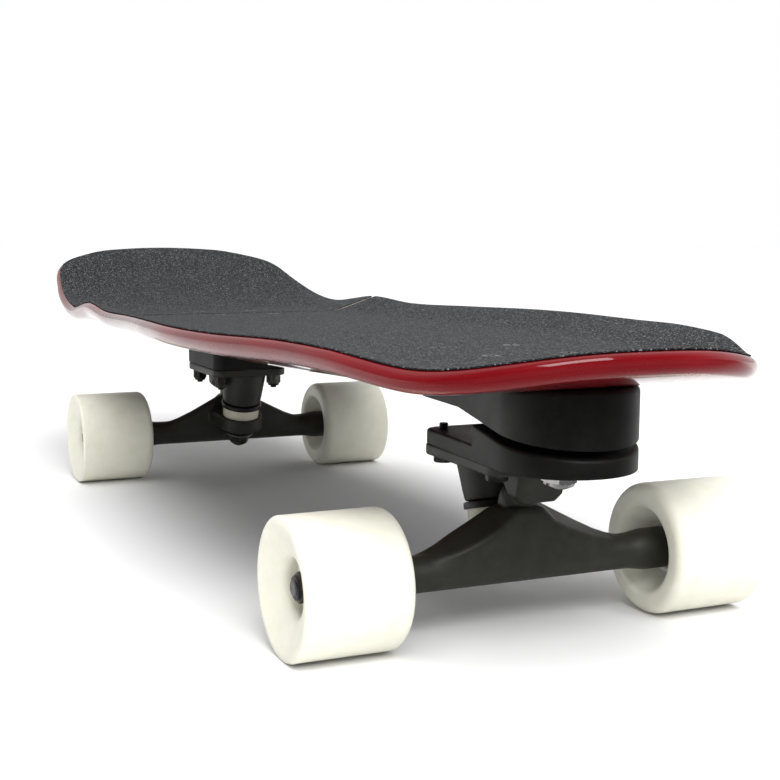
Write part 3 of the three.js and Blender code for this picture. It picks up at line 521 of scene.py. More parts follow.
# Black plastic of the riser, painted darker still to stand in for the deck's shade over it
riserPlasticWithPaintedShade = coatedMaterial("riserPlasticWithPaintedShade", {
    **plainLook, "color": (0.005, 0.0055, 0.0055), "tone": (0.008, 0.0085, 0.0085), "wornColor": (0.05, 0.05, 0.05),
    "roughness": 0.5, "roughRange": 0.1, "dust": 0.03, "bump": 0.2,
}, {"Specular IOR Level": 0.2})
blackUrethane = coatedMaterial("blackUrethane", {
    **plainLook, "color": (0.016, 0.016, 0.016), "tone": (0.022, 0.022, 0.022), "wornColor": (0.06, 0.06, 0.06),
    "roughness": 0.4, "roughRange": 0.15, "bump": 0.1,
}, {})
creamUrethane = coatedMaterial("creamUrethane", {
    **plainLook, "color": (0.74, 0.72, 0.58), "tone": (0.68, 0.66, 0.52), "wornColor": (0.8, 0.78, 0.66),
    "roughness": 0.35, "roughRange": 0.12, "dust": 0.12, "bump": 0.06, "dustColor": (0.45, 0.43, 0.36),
}, {"Subsurface Weight": 0.25, "Subsurface Scale": 0.003, "Subsurface Radius": (1.0, 0.9, 0.6)})
urethane = coatedMaterial("wheelUrethane", {
    **plainLook, "color": (0.86, 0.85, 0.74), "tone": (0.81, 0.8, 0.68), "wornColor": (0.9, 0.89, 0.8),
    "roughness": 0.36, "roughRange": 0.14, "dust": 0.1, "bump": 0.05, "grain": 900, "dustColor": (0.5, 0.48, 0.42),
}, {"Subsurface Weight": 0.3, "Subsurface Scale": 0.006, "Subsurface Radius": (1.0, 0.92, 0.7)})


def lacquerMaterial():
    # Red lacquer over plies: thin ply lines show through on the rails, and light bounced off it stays neutral
    look = {
        "deep": (0.12, 0.002, 0.004), "bright": (0.19, 0.004, 0.008), "ply": (0.07, 0.001, 0.003),
        "maple": (0.66, 0.58, 0.5), "bounce": (0.06, 0.06, 0.06), "plies": 7, "lineFrom": 0.6, "lineStrength": 0.3,
        "topFrom": 0.997, "roughness": 0.22, "roughRange": 0.12, "bump": 0.05, "bumpHeight": 0.1,
    }
    material, tree, shader = newMaterial("redLacquer", {
        "Coat Weight": 1.0, "Coat Roughness": 0.06, "Coat IOR": 1.5, "Specular IOR Level": 0.05,
    })
    grain = placeGroup(tree, grainGroup, {"Grain Scale": 260, "Swell Scale": 14, "Swell": 1.0})
    smudge = placeGroup(tree, smudgeGroup, {"Patch Scale": 18})
    ply = nodeOut(tree, "ShaderNodeAttribute", out="Fac", attribute_name="plyShare")
    waves = nodeMath(tree, "SINE", scaled(tree, ply, look["plies"] * 2 * math.pi))
    lines = mapRange(tree, waves, look["lineFrom"], 1.0, toHigh=look["lineStrength"])
    toned = mixColors(tree, grain["Tone"], look["deep"], look["bright"])
    plied = mixColors(tree, lines, toned, look["ply"])
    topped = mixColors(tree, nodeMath(tree, "GREATER_THAN", ply, look["topFrom"]), plied, look["maple"])
    bounced = nodeOut(tree, "ShaderNodeLightPath", out="Is Diffuse Ray")
    setInputs(tree, shader, {
        "Base Color": mixColors(tree, bounced, topped, look["bounce"]),
        "Roughness": scaled(tree, smudge["Patches"], look["roughRange"], look["roughness"]),
        "Normal": bumpFrom(tree, grain["Height"], look["bump"], look["bumpHeight"]),
    })
    return material


def gripMaterial():
    # Silicon carbide grains in dark glue: most are dark, and a few are painted bright as glints where grains would
    # catch the light
    look = {
        "dark": (0.001, 0.0015, 0.002), "mid": (0.007, 0.009, 0.011), "bright": (0.2, 0.215, 0.225),
        "dust": (0.02, 0.02, 0.02), "dustShare": 0.12, "roughness": 0.8, "roughRange": -0.25, "bump": 0.7,
        "bumpHeight": 0.35,
    }
    material, tree, shader = newMaterial("gripGrit", {"Specular IOR Level": 0.5})
    grit = placeGroup(tree, gritGroup, {"Grain Scale": 1500, "Bright From": 0.82})
    smudge = placeGroup(tree, smudgeGroup, {"Patch Scale": 12, "Speck Scale": 500})
    grains = mixColors(tree, grit["Grain"], look["dark"], look["mid"])
    # Painted glints: the cells picked by the Bright mask get a bright grey base colour
    grainsWithPaintedGlints = mixColors(tree, grit["Bright"], grains, look["bright"])
    dust = scaled(tree, smudge["Patches"], look["dustShare"])
    setInputs(tree, shader, {
        "Base Color": mixColors(tree, dust, grainsWithPaintedGlints, look["dust"]),
        "Roughness": scaled(tree, grit["Grain"], look["roughRange"], look["roughness"]),
        "Normal": bumpFrom(tree, grit["Height"], look["bump"], look["bumpHeight"]),
    })
    return material


lacquer = lacquerMaterial()
gripSurface = gripMaterial()
print("materials made")


# Geometry Nodes: trees for what repeats or is turned about an axis

def grow(tree, name, values):
    # A plain mesh made by a tree, whose inputs are set before it is first evaluated
    piece = linkNew(name, bpy.data.meshes.new(name))
    modifier = piece.modifiers.new("nodes", "NODES")
    modifier.node_group = tree
    sockets = {item.name: item.identifier for item in tree.interface.items_tree if item.in_out == "INPUT"}
    for label, value in values.items():
        modifier[sockets[label]] = value
    bakeModifiers(piece)
    return piece


def takeShape(piece):
    # Turns an object back into points in millimetres and faces
    points = [vert.co / mm for vert in piece.data.vertices]
    faces = [list(face.vertices) for face in piece.data.polygons]
    bpy.data.objects.remove(piece)
    return points, faces


def endGrown(tree, geometry, material):
    real = nodeOut(tree, "GeometryNodeRealizeInstances", {"Geometry": geometry})
    painted = nodeOut(tree, "GeometryNodeSetMaterial", {"Geometry": real, "Material": material})
    return endTree(tree, {"Geometry": painted}, "Geometry")


def instanceOn(tree, points, instance, euler):
    picked = nodeOut(tree, "GeometryNodeObjectInfo", {"Object": instance}, out="Geometry")
    rotation = nodeOut(tree, "FunctionNodeEulerToRotation", {0: euler})
    return nodeOut(tree, "GeometryNodeInstanceOnPoints", {
        "Points": points, "Instance": picked, "Rotation": rotation,
    })


def vectorOf(tree, **parts):
    return nodeOut(tree, "ShaderNodeCombineXYZ", {axis.upper(): value for axis, value in parts.items()})


def positionParts(tree):
    place = nodeOut(tree, "GeometryNodeInputPosition")
    return addNode(tree, "ShaderNodeSeparateXYZ", {0: place}).outputs


def makeBoltPatternTree():
    # Four bolts on a rectangle: heads that follow a slope, nuts that stay level, each turned by chance
    tree, given = newTree("boltPattern", "GeometryNodeTree", {
        "Length": 0.054, "Width": 0.0413, "Middle": 0.0, "Slope": 0.0, "Head Height": 0.1, "Nut Height": 0.09,
        "Head": "Object", "Nut": "Object", "Seed": 0, "Finish": "Material",
    })
    corners = nodeOut(tree, "GeometryNodeMeshGrid", {
        "Size X": given["Length"], "Size Y": given["Width"], "Vertices X": 2, "Vertices Y": 2,
    })
    x = nodeMath(tree, "ADD", positionParts(tree)["X"], given["Middle"])
    sloped = nodeMath(tree, "MULTIPLY_ADD", x, given["Slope"], given["Head Height"])
    joined = addNode(tree, "GeometryNodeJoinGeometry")
    for order, (height, instance) in enumerate(((sloped, given["Head"]), (given["Nut Height"], given["Nut"]))):
        lift = vectorOf(tree, x=given["Middle"], z=height)
        points = nodeOut(tree, "GeometryNodeSetPosition", {"Geometry": corners, "Offset": lift})
        turn = nodeOut(tree, "FunctionNodeRandomValue", {
            2: 0.0, 3: 2 * math.pi, "Seed": nodeMath(tree, "ADD", given["Seed"], order),
        }, out=1, data_type="FLOAT")
        tree.links.new(instanceOn(tree, points, instance, vectorOf(tree, z=turn)), joined.inputs["Geometry"])
    return endGrown(tree, joined.outputs["Geometry"], given["Finish"])


def makeThreadTree():
    # A threaded end standing on z = 0: its radius falls and rises once in each pitch, and its low end is chamfered
    tree, given = newTree("screwThread", "GeometryNodeTree", {
        "Radius": 0.0024, "Length": 0.003, "Pitch": 0.0008, "Depth Share": 0.16, "Chamfer": 0.0005, "Rings": 20,
        "Finish": "Material",
    })
    rod = nodeOut(tree, "GeometryNodeMeshCylinder", {
        "Vertices": 24, "Side Segments": given["Rings"], "Radius": given["Radius"], "Depth": given["Length"],
    })
    x, y, z = positionParts(tree)
    rise = nodeMath(tree, "MULTIPLY_ADD", given["Length"], 0.5, z)
    angle = nodeMath(tree, "DIVIDE", nodeMath(tree, "ARCTAN2", y, x), 2 * math.pi)
    turns = nodeMath(tree, "ADD", nodeMath(tree, "DIVIDE", rise, given["Pitch"]), angle)
    ramp = nodeMath(tree, "MULTIPLY_ADD", nodeMath(tree, "FRACT", nodeMath(tree, "ADD", turns, 1.0)), 2.0, -1.0)
    groove = nodeMath(tree, "MULTIPLY", nodeMath(tree, "ABSOLUTE", ramp), given["Depth Share"])
    taper = mapRange(tree, rise, 0.0, given["Chamfer"], toLow=0.8)
    share = nodeMath(tree, "MINIMUM", nodeMath(tree, "SUBTRACT", 1.0, groove), taper)
    moved = vectorOf(
        tree, x=nodeMath(tree, "MULTIPLY", x, share), y=nodeMath(tree, "MULTIPLY", y, share), z=rise
    )
    cut = nodeOut(tree, "GeometryNodeSetPosition", {"Geometry": rod, "Position": moved})
    return endGrown(tree, cut, given["Finish"])


def makeTurnedTree():
    # A closed profile carried round a circle: the profile's X is added to the hub radius, and its Y points down
    tree, given = newTree("turnedProfile", "GeometryNodeTree", {
        "Profile": "Object", "Hub Radius": 0.009, "Steps": 160, "Finish": "Material",
    })
    edges = nodeOut(tree, "GeometryNodeObjectInfo", {"Object": given["Profile"]}, out="Geometry")
    profile = nodeOut(tree, "GeometryNodeMeshToCurve", {"Mesh": edges})
    circle = nodeOut(tree, "GeometryNodeCurvePrimitiveCircle", {
        "Resolution": given["Steps"], "Radius": given["Hub Radius"],
    })
    body = nodeOut(tree, "GeometryNodeCurveToMesh", {"Curve": circle, "Profile Curve": profile})
    return endGrown(tree, body, given["Finish"])


def makeRowTree():
    # Rings threaded on an axle that runs along Y, at even distances
    tree, given = newTree("axleRow", "GeometryNodeTree", {
        "Ring": "Object", "Count": 2, "Start": -0.08, "Spacing": 0.16, "Height": 0.0325, "Finish": "Material",
    })
    row = nodeOut(tree, "GeometryNodeMeshLine", {
        "Count": given["Count"], "Start Location": vectorOf(tree, y=given["Start"], z=given["Height"]),
        "Offset": vectorOf(tree, y=given["Spacing"]),
    })
    return endGrown(tree, instanceOn(tree, row, given["Ring"], (math.pi / 2, 0, 0)), given["Finish"])


boltPatternTree = makeBoltPatternTree()
threadTree = makeThreadTree()
turnedTree = makeTurnedTree()
axleRowTree = makeRowTree()
thread = {"ringsPerTurn": 8, "depthShareOfPitch": 0.5, "chamfer": 0.7}


def threadShape(radius, length, pitch):
    return takeShape(grow(threadTree, "thread", {
        "Radius": radius * mm, "Length": length * mm, "Pitch": pitch * mm, "Finish": steelBlack,
        "Rings": math.ceil(length / pitch * thread["ringsPerTurn"]), "Chamfer": thread["chamfer"] * mm,
        "Depth Share": pitch * thread["depthShareOfPitch"] / radius,
    }))


def threadedRod(radius, low, high, threaded, pitch):
    # A rod whose lowest stretch is threaded
    end = placed(threadShape(radius, threaded, pitch), shifted(0, 0, low))
    return combined(end, rodShape(radius, low + threaded - touch, high))


# Deck and grip tape

deck = {
    "nose": 328,
    "tail": 436,
    "halfWidth": 132,
    "thickness": 10,
    "spineMargin": 75,
    "steps": 560,  # points round the outline
    "splineSteps": 60,
    "topRings": 22,
    "railRings": 19,
    "concaveDepth": 12,
    "flatShare": 0.62,
    "bendShare": 0.35,
    "leastWidthShare": 0.8,
    "tailKick": (196, 358, 0.42),  # length, radius, slope
    "noseKick": (53, 139, 0.36),
}
grip = {"inset": 3, "thickness": 0.7, "seamReach": 6, "seamWidth": 5.8, "edgeRadius": 0.3, "rings": 26}
deckLength = deck["nose"] + deck["tail"]
gripRise = deck["thickness"] + grip["thickness"]

# Shares of the length from the tail, and of the half width
outlineShares = [
    (0, 0), (0.0036, 0.27), (0.012, 0.47), (0.045, 0.722), (0.1, 0.805), (0.25, 0.86), (0.38, 0.892), (0.5, 0.93),
    (0.603, 0.985), (0.67, 1), (0.747, 0.961), (0.832, 0.865), (0.902, 0.765), (0.966, 0.549), (0.9935, 0.3), (1, 0),
]
concaveShares = [
    (0, 0.125), (0.149, 0.125), (0.208, 0.34), (0.253, 0.73), (0.302, 1), (0.387, 0.7), (0.5, 0.775), (0.603, 0.85),
    (0.747, 0.77), (0.832, 0.8), (0.902, 0.54), (0.942, 0.2), (1, 0.125),
]


def between(first, second, start, end, at):
    return (end - at) / (end - start) * first + (at - start) / (end - start) * second


def outlinePoints():
    # A closed centripetal Catmull-Rom curve, resampled at even steps
    side = [(along * deckLength - deck["tail"], wide * deck["halfWidth"]) for along, wide in outlineShares]
    corners = np.array([(x, -y) for x, y in side] + [(x, y) for x, y in side[-2:0:-1]])
    dense = []
    for i in range(len(corners)):
        p = [corners[(i + k) % len(corners)] for k in (-1, 0, 1, 2)]
        t = np.cumsum([0] + [np.linalg.norm(p[k + 1] - p[k]) ** 0.5 for k in range(3)])
        for s in np.linspace(t[1], t[2], deck["splineSteps"], endpoint=False):
            a = [between(p[k], p[k + 1], t[k], t[k + 1], s) for k in range(3)]
            b = [between(a[k], a[k + 1], t[k], t[k + 2], s) for k in range(2)]
            dense.append(between(b[0], b[1], t[1], t[2], s))
    dense = np.array(dense + [dense[0]])
    run = np.concatenate([[0], np.cumsum(np.linalg.norm(np.diff(dense, axis=0), axis=1))])
    at = np.linspace(0, run[-1], deck["steps"], endpoint=False)
    return np.stack([np.interp(at, run, dense[:, k]) for k in range(2)], axis=1)


outline = outlinePoints()
alongOutline = np.roll(outline, -1, axis=0) - np.roll(outline, 1, axis=0)
alongOutline /= np.linalg.norm(alongOutline, axis=1, keepdims=True)
inward = np.stack([-alongOutline[:, 1], alongOutline[:, 0]], axis=1)
rightSide = outline[: deck["steps"] // 2 + 1]


def halfWidthAt(x):
    half = np.interp(x, rightSide[:, 0], np.abs(rightSide[:, 1]))
    return np.maximum(half, deck["leastWidthShare"] * deck["halfWidth"])


def concaveAt(x):
    knots = np.array([along * deckLength - deck["tail"] for along, _ in concaveShares])
    values = np.array([deep * deck["concaveDepth"] for _, deep in concaveShares])
    secants = np.diff(values) / np.diff(knots)
    slopes = np.concatenate([[secants[0]], (secants[1:] + secants[:-1]) / 2, [secants[-1]]])
    i = np.clip(np.searchsorted(knots, x) - 1, 0, len(knots) - 2)
    span = knots[i + 1] - knots[i]
    t = np.clip((x - knots[i]) / span, 0, 1)
    return (
        (2 * t**3 - 3 * t**2 + 1) * values[i] + (t**3 - 2 * t**2 + t) * span * slopes[i]
        + (3 * t**2 - 2 * t**3) * values[i + 1] + (t**3 - t**2) * span * slopes[i + 1]
    )


def kickRise(distance, radius, slope):
    past = np.maximum(distance, 0)
    curved = np.minimum(past, slope * radius)
    return curved**2 / (2 * radius) + (past - curved) * slope


def deckPlane(x):
    return deckLevel + deckSlope * x


def deckUnder(x, y):
    tailLength, tailRadius, tailSlope = deck["tailKick"]
    noseLength, noseRadius, noseSlope = deck["noseKick"]
    bend = deck["bendShare"]
    past = np.maximum((np.abs(y) / halfWidthAt(x) - deck["flatShare"]) / (1 - deck["flatShare"]), 0)
    rise = np.where(past < bend, past**2 / (2 * bend), past - bend / 2)
    return (
        deckPlane(x)
        + kickRise(tailLength - deck["tail"] - x, tailRadius, tailSlope)
        + kickRise(x + noseLength - deck["nose"], noseRadius, noseSlope)
        + concaveAt(x) * rise / (1 - bend / 2)
    )


def sheetRing(share, inset, lift):
    # A ring of points part of the way from the deck's spine to its outline, at a height over the underside
    edge = outline + inset * inward
    spine = np.clip(edge[:, 0], deck["spineMargin"] - deck["tail"], deck["nose"] - deck["spineMargin"])
    x = spine + share * (edge[:, 0] - spine)
    y = share * edge[:, 1]
    return [Vector(point) for point in np.stack([x, y, deckUnder(x, y) + lift], axis=1)]


def sheetShape(steps, inset, top, low, rim):
    # Rings from the spine out over the top, round the (inset, height) places of the rim, and back below
    shares = np.linspace(0, 1, steps)
    rings = [sheetRing(share, inset, top) for share in shares] + [sheetRing(1, *place) for place in rim]
    return loftShape(rings + [sheetRing(share, inset, low) for share in shares[::-1]], closedEnds=False)


def deckShape():
    rail = deck["thickness"] / 2
    angles = np.linspace(math.pi / 2, -math.pi / 2, deck["railRings"])[1:-1]
    rim = [(rail * (1 - math.cos(angle)), rail * (1 + math.sin(angle))) for angle in angles]
    return sheetShape(deck["topRings"], rail, deck["thickness"], 0, rim)


def gripShape():
    low, fillet = deck["thickness"] + touch, grip["edgeRadius"]
    inner = grip["inset"] + fillet
    angles = np.linspace(math.pi / 2, 0, 4)[1:]
    rim = [(inner - fillet * math.cos(angle), gripRise - fillet * (1 - math.sin(angle))) for angle in angles]
    return sheetShape(grip["rings"], inner, gripRise, low, rim + [(grip["inset"], low)])


def patternPlaces(middle):
    half = (board["patternLength"] / 2, board["patternWidth"] / 2)
    return [(middle + sx * half[0], sy * half[1]) for sx in (1, -1) for sy in (1, -1)]


deckBolt = {
    "radius": 2.4, "headRadius": 4.7, "headHeight": 2.8, "across": 9.5, "nutHeight": 8.1, "tail": 1.5, "pitch": 0.8,
    "recessDepth": 1.1, "recessReach": 2.5, "recessWidth": 0.9, "rim": 0.35, "frontSetback": 7, "stubHead": 3,
    "stub": 3, "shankShare": 0.7,  # of a head's height, that the nut's shank stops short of its top
}
frontMiddle = patternMiddle - deckBolt["frontSetback"]
frontBolts = patternPlaces(frontMiddle)
rearBolts = patternPlaces(-patternMiddle)


def boltHoles():
    # Countersunk a little wider than the heads
    holes = []
    shaft, mouth = board["boltHole"], deckBolt["headRadius"] + gap
    for x, y in frontBolts + rearBolts:
        top = float(deckUnder(x, y)) + gripRise
        corner = top - deckBolt["headHeight"] - gap
        holes.append(placed(turnedShape([
            (0, top - far, 0), (shaft, top - far, 0), (shaft, corner, 0), (mouth, top - gap, 0), (mouth, top + far, 0),
            (0, top + far, 0),
        ], 40), shifted(x, y, 0)))
    return combined(*holes)


def straightHoles(places, radius, low, high, steps=40, place=boardFrame):
    return combined(*[placed(rodShape(radius, low, high, 0, steps), place @ shifted(x, y, 0)) for x, y in places])


def halfOf(piece, name, x, keepAhead):
    half = linkNew(name, piece.data.copy())
    shape = bmesh.new()
    shape.from_mesh(half.data)
    bmesh.ops.bisect_plane(
        shape, geom=shape.verts[:] + shape.edges[:] + shape.faces[:], plane_co=(x * mm, 0, 0), plane_no=(1, 0, 0),
        clear_inner=keepAhead, clear_outer=not keepAhead,
    )
    bmesh.ops.contextual_create(shape, geom=[edge for edge in shape.edges if edge.is_boundary])
    shape.to_mesh(half.data)
    shape.free()
    return half


def markPlies(piece):
    # Where each point lies in the deck's thickness, for the ply lines of the lacquer
    points = np.array([vert.co for vert in piece.data.vertices]) / mm
    share = (points[:, 2] - deckUnder(points[:, 0] - board["middle"], points[:, 1])) / deck["thickness"]
    layer = piece.data.attributes.new("plyShare", "FLOAT", "POINT")
    layer.data.foreach_set("value", share.astype(np.float32))


def buildDeck():
    holes = placed(boltHoles(), boardFrame)
    blank = newPiece("deck_board", placed(deckShape(), boardFrame), blankSharp)
    carve(blank, holes)
    cleanMesh(blank, sheetSharp)
    markPlies(blank)
    finishPiece(blank, lacquer, "deck_lacquer", "board", "deck")
    sheet = newPiece("grip_sheet", placed(gripShape(), boardFrame), blankSharp)
    carve(sheet, holes)
    seam = board["middle"] + grip["seamReach"] - patternMiddle
    for name, node, edge, ahead in [
        ("grip_front", "grip_tape_front", seam + grip["seamWidth"] / 2, True),
        ("grip_rear", "grip_tape_rear", seam - grip["seamWidth"] / 2, False),
    ]:
        half = halfOf(sheet, name, edge, ahead)
        cleanMesh(half, sheetSharp)
        finishPiece(half, gripSurface, "grip_tape", "board", node)
    bpy.data.objects.remove(sheet)
    print("deck and grip tape made")


buildDeck()


# Deck bolts: countersunk cross heads in the grip, with lock nuts below

def crossHead():
    radius, height = deckBolt["headRadius"], deckBolt["headHeight"]
    head = turnedShape([
        (0, -height, 0), (deckBolt["radius"], -height, 0), (radius, -deckBolt["rim"], 0.1), (radius, 0, 0.15),
        (0, 0, 0),
    ], 40)
    piece = newPiece("bolt_head", head, screwSharp)
    reach, half, depth = deckBolt["recessReach"], deckBolt["recessWidth"] / 2, deckBolt["recessDepth"]
    slots = [blockShape((-a, -b, -depth), (a, b, height)) for a, b in ((reach, half), (half, reach))]
    carve(piece, *slots)
    return piece


def nutWithTail(shankTop):
    # The nut's top is at z = 0, with the shank on up through it and the tail below
    low = -deckBolt["nutHeight"]
    tail = low - deckBolt["tail"]
    return newPiece("bolt_nut", combined(
        lockNutShape(deckBolt["across"], low, 0, deckBolt["radius"] + touch),
        threadedRod(deckBolt["radius"], tail, shankTop, deckBolt["nutHeight"], deckBolt["pitch"]),
    ), screwSharp)


def hexHead(shankTop):
    high = deckBolt["stubHead"]
    return newPiece("bolt_hex", combined(
        hexagonShape(deckBolt["across"], 0, high), rodShape(deckBolt["radius"], high - touch, shankTop, 0, 32),
    ), screwSharp)


def threadEnd():
    # A threaded end that points up, its tip at z = 0
    length = deckBolt["stub"] + deckBolt["pitch"]
    end = threadShape(deckBolt["radius"], length, deckBolt["pitch"])
    return newPiece("bolt_end", placed(end, turnedBy(180, "X")), screwSharp)


def patternBolts(name, middle, slope, headHeight, nutHeight, head, nutPiece, seed, body, nodes):
    piece = grow(boltPatternTree, name, {
        "Length": board["patternLength"] * mm, "Width": board["patternWidth"] * mm, "Middle": middle * mm,
        "Slope": slope, "Head Height": headHeight * mm, "Nut Height": nutHeight * mm, "Head": head, "Nut": nutPiece,
        "Seed": seed, "Finish": steelBlack,
    })
    settlePiece(piece, boardFrame, screwSharp, steelBlack, "black_steel", body, *nodes)
    for template in (head, nutPiece):
        bpy.data.objects.remove(template)


def boltNodes(start):
    return [start + corner for corner in ("outer_left", "outer_right", "inner_left", "inner_right")]


def buildBolts(flangeThickness, plateThickness, recessCeiling):
    flangeUnder = board["plateTop"] - flangeThickness - gap
    headTop = deckLevel + gripRise
    for name, start, middle, nutTop, seed in (
        ("adapter_bolts", "adapter_bolt_", frontMiddle, recessCeiling, 3),
        ("rear_bolts", "rear_deck_bolt_", -patternMiddle, flangeUnder, 8),
    ):
        shankTop = headTop + deckSlope * middle - nutTop - deckBolt["headHeight"] * deckBolt["shankShare"]
        patternBolts(
            name, middle, deckSlope, headTop, nutTop, crossHead(), nutWithTail(shankTop), seed, "board",
            boltNodes(start),
        )
    low = flangeUnder - deckBolt["stubHead"]
    stubTop = board["plateTop"] + plateThickness + deckBolt["stub"]
    shankTop = stubTop - low - deckBolt["stub"]
    patternBolts(
        "truck_bolts", patternMiddle, 0, low, stubTop, hexHead(shankTop), threadEnd(), 5, "surf_arm",
        boltNodes("truck_bolt_"),
    )
    print("bolts made")


# Wheels, bearings and speed washers

wheel = {
    "radius": 32.5, "width": 52, "outerBevel": 2, "innerBevel": 6, "rimWidth": 3.5, "dishRadius": 21, "dishDepth": 3,
    "mouthRadius": 13, "mouthDepth": 7, "backRadius": 22, "coreRadius": 9, "steps": 160,
}
bearing = {
    "radius": 11, "bore": 4.4, "width": 7, "spacing": 17, "offset": 0.9, "hangerGap": 1.1,
    "innerRace": 1.9, "outerRace": 1.5, "shieldDepth": 0.5, "shieldGap": 0.1,
}
speedWasher = {"bore": 4.05, "radius": 6.5, "thickness": 0.9}
hangerEnd = 82.5
bearingInner = hangerEnd + bearing["hangerGap"]
bearingOuter = bearingInner + bearing["spacing"] + bearing["width"]
wheelMiddle = (bearingInner + bearingOuter) / 2 - bearing["offset"]


def wheelProfile():
    # Corners are (radius, place along the axle, fillet)
    half = wheel["width"] / 2
    pocket = bearing["radius"] + gap
    low, high = bearingInner - wheelMiddle, bearingOuter - wheelMiddle
    coreLow, coreHigh = low + bearing["width"] + gap, high - bearing["width"] - gap
    return [
        (wheel["coreRadius"], coreLow, 0.3), (pocket, coreLow, 0), (pocket, low, 0.4),
        (wheel["mouthRadius"], low - gap, 1.5), (wheel["backRadius"], -half, 3.2),
        (wheel["radius"], -half, wheel["innerBevel"]), (wheel["radius"], half, wheel["outerBevel"]),
        (wheel["radius"] - wheel["rimWidth"], half, 2), (wheel["dishRadius"], half - wheel["dishDepth"], 14),
        (wheel["mouthRadius"], half - wheel["mouthDepth"] + 1, 5), (wheel["mouthRadius"], high, 0.4),
        (pocket, high, 0.3), (pocket, coreHigh, 0), (wheel["coreRadius"], coreHigh, 0.3),
    ]


def wheelPiece(name):
    path = roundCorners(wheelProfile(), 8)
    mesh = bpy.data.meshes.new("wheel_profile")
    points = [Vector((r - wheel["coreRadius"], -z, 0)) * mm for r, z in path]
    mesh.from_pydata(points, [(i, (i + 1) % len(points)) for i in range(len(points))], [])
    profile = linkNew("wheel_profile", mesh)
    piece = grow(turnedTree, name, {
        "Profile": profile, "Hub Radius": wheel["coreRadius"] * mm, "Steps": wheel["steps"], "Finish": urethane,
    })
    bpy.data.objects.remove(profile)
    return piece


def bearingShape():
    # One half of the profile, from the bore out, and its mirror image
    radius, bore, half = bearing["radius"], bearing["bore"], bearing["width"] / 2
    inner, outer = bore + bearing["innerRace"], radius - bearing["outerRace"]
    shield, narrow = half - bearing["shieldDepth"], bearing["shieldGap"]
    side = [
        (bore, half, 0.35), (inner, half, 0.15), (inner + narrow, shield, 0), (outer - narrow, shield, 0),
        (outer, half, 0.15), (radius, half, 0.5),
    ]
    return turnedShape([(r, -z, fillet) for r, z, fillet in side] + side[::-1], 72, 3)


def buildWheels():
    half = speedWasher["thickness"] / 2
    ring = newPiece("speed_ring", tubeShape(speedWasher["bore"], speedWasher["radius"], -half, half, 0.2))
    reach = hangerEnd + bearing["hangerGap"] / 2
    for end in ("front", "rear"):
        for name in (end + "_left", end + "_right"):
            place, body = sideFrames[name], name + "_wheel"
            settlePiece(
                wheelPiece("tyre_" + name), place @ shifted(0, 0, wheelMiddle), turnedSharp,
                urethane, "wheel_urethane", body, "wheel_" + name,
            )
            for kind, face in (("inner", bearingInner), ("outer", bearingOuter - bearing["width"])):
                race = placed(bearingShape(), place @ shifted(0, 0, face + bearing["width"] / 2))
                addPiece(
                    kind + "_race_" + name, race, turnedSharp,
                    brightSteel, "bearing_steel", body, kind + "_bearing_" + name,
                )
        row = grow(axleRowTree, end + "_speed_washers", {
            "Ring": ring, "Count": 2, "Start": -reach * mm, "Spacing": 2 * reach * mm,
            "Height": board["axleHeight"] * mm, "Finish": brightSteel,
        })
        settlePiece(row, truckFrames[end], turnedSharp, brightSteel, "bright_steel", end + "_hanger")
    bpy.data.objects.remove(ring)
    print("wheels, bearings and speed washers made")


buildWheels()


# Trucks, measured from the axle with X towards the board's end

plate = {
    "length": 76, "width": 56, "thickness": 5.5, "corner": 8, "edge": 0.8, "bossEndRadius": 13.9, "bossRootRadius": 17,
    "housingHalfWidth": 12.5, "housingDrop": 20, "housingReach": 22, "housingDraft": 5, "housingCorner": 3.5,
    "bossFlare": (0.8, 5, 6),  # its end's fillet, and where it widens and how round
    "headPocket": 9.15, "edgeSteps": 5, "voxel": 0.6, "softening": 5,
}
pivot = {"start": 38.4, "length": 11.6, "radius": 7.4, "lipRadius": 8.8, "lip": 1.4, "noseRadius": 5.6, "noseTaper": 1}
hanger = {
    "ringRadius": 16.5, "ringThickness": 9.8, "ringHole": 7.2, "seatRadius": 13.9, "seatDepth": 2,
    "neckRadius": 9.2, "neckStart": 17, "neckEnd": 30, "webRadius": 3.6, "reliefRadius": 23, "endBand": 0.6,
    "crestSetback": 6, "ridgeReach": 5, "yokeHalfWidth": 17, "yokeLifts": (10.2, 14),
    "tubeStations": [(0, 8.7), (56.5, 8.7), (60, 8.85), (66, 9.85), (69.5, 10.2), (82.5, 10.2)],
    "crestStations": [(0, 28), (12, 27.6), (17, 25), (25, 20.8), (34, 16.2), (43, 11.8), (49, 9.6), (54, 8.3), (60, 7)],
    "ridgeStations": [
        (0, 28), (6, 28), (8, 27.7), (11, 24.9), (15, 21), (22, 17.3), (30, 13.8), (38, 10.9), (48, 8.2), (60, 7),
    ],
    "webEnd": (34, 60),  # where the web's crest and ridge draw in, and where they are gone
    "drawnIn": 0.3,  # the share of their setback that is left there
    "cutReach": 40, "holeReach": 20,  # how far cuts go on past the ring
    "voxel": 0.65, "softening": 5, "stations": 121, "ringPoints": 96, "holeSteps": 64,
}
stack = {
    "boardside": (10.6, 13.4), "roadside": (5.6, 12.4, 9.8), "bushingBore": 5.2, "washer": 1.5, "cupWasher": (15, 3.6),
    "lowerWasher": 10.6, "nutAcross": 14.3, "nutHeight": 7.2, "pin": 4.75, "tail": 1.5, "headHeight": 5.5,
    "pitch": 1.25,
}
cornerPoints = 9  # round each corner of a slab
axle = {"radius": 4, "nutAcross": 12.7, "nutHeight": 6.2, "past": 1.0, "pitch": 1.1}

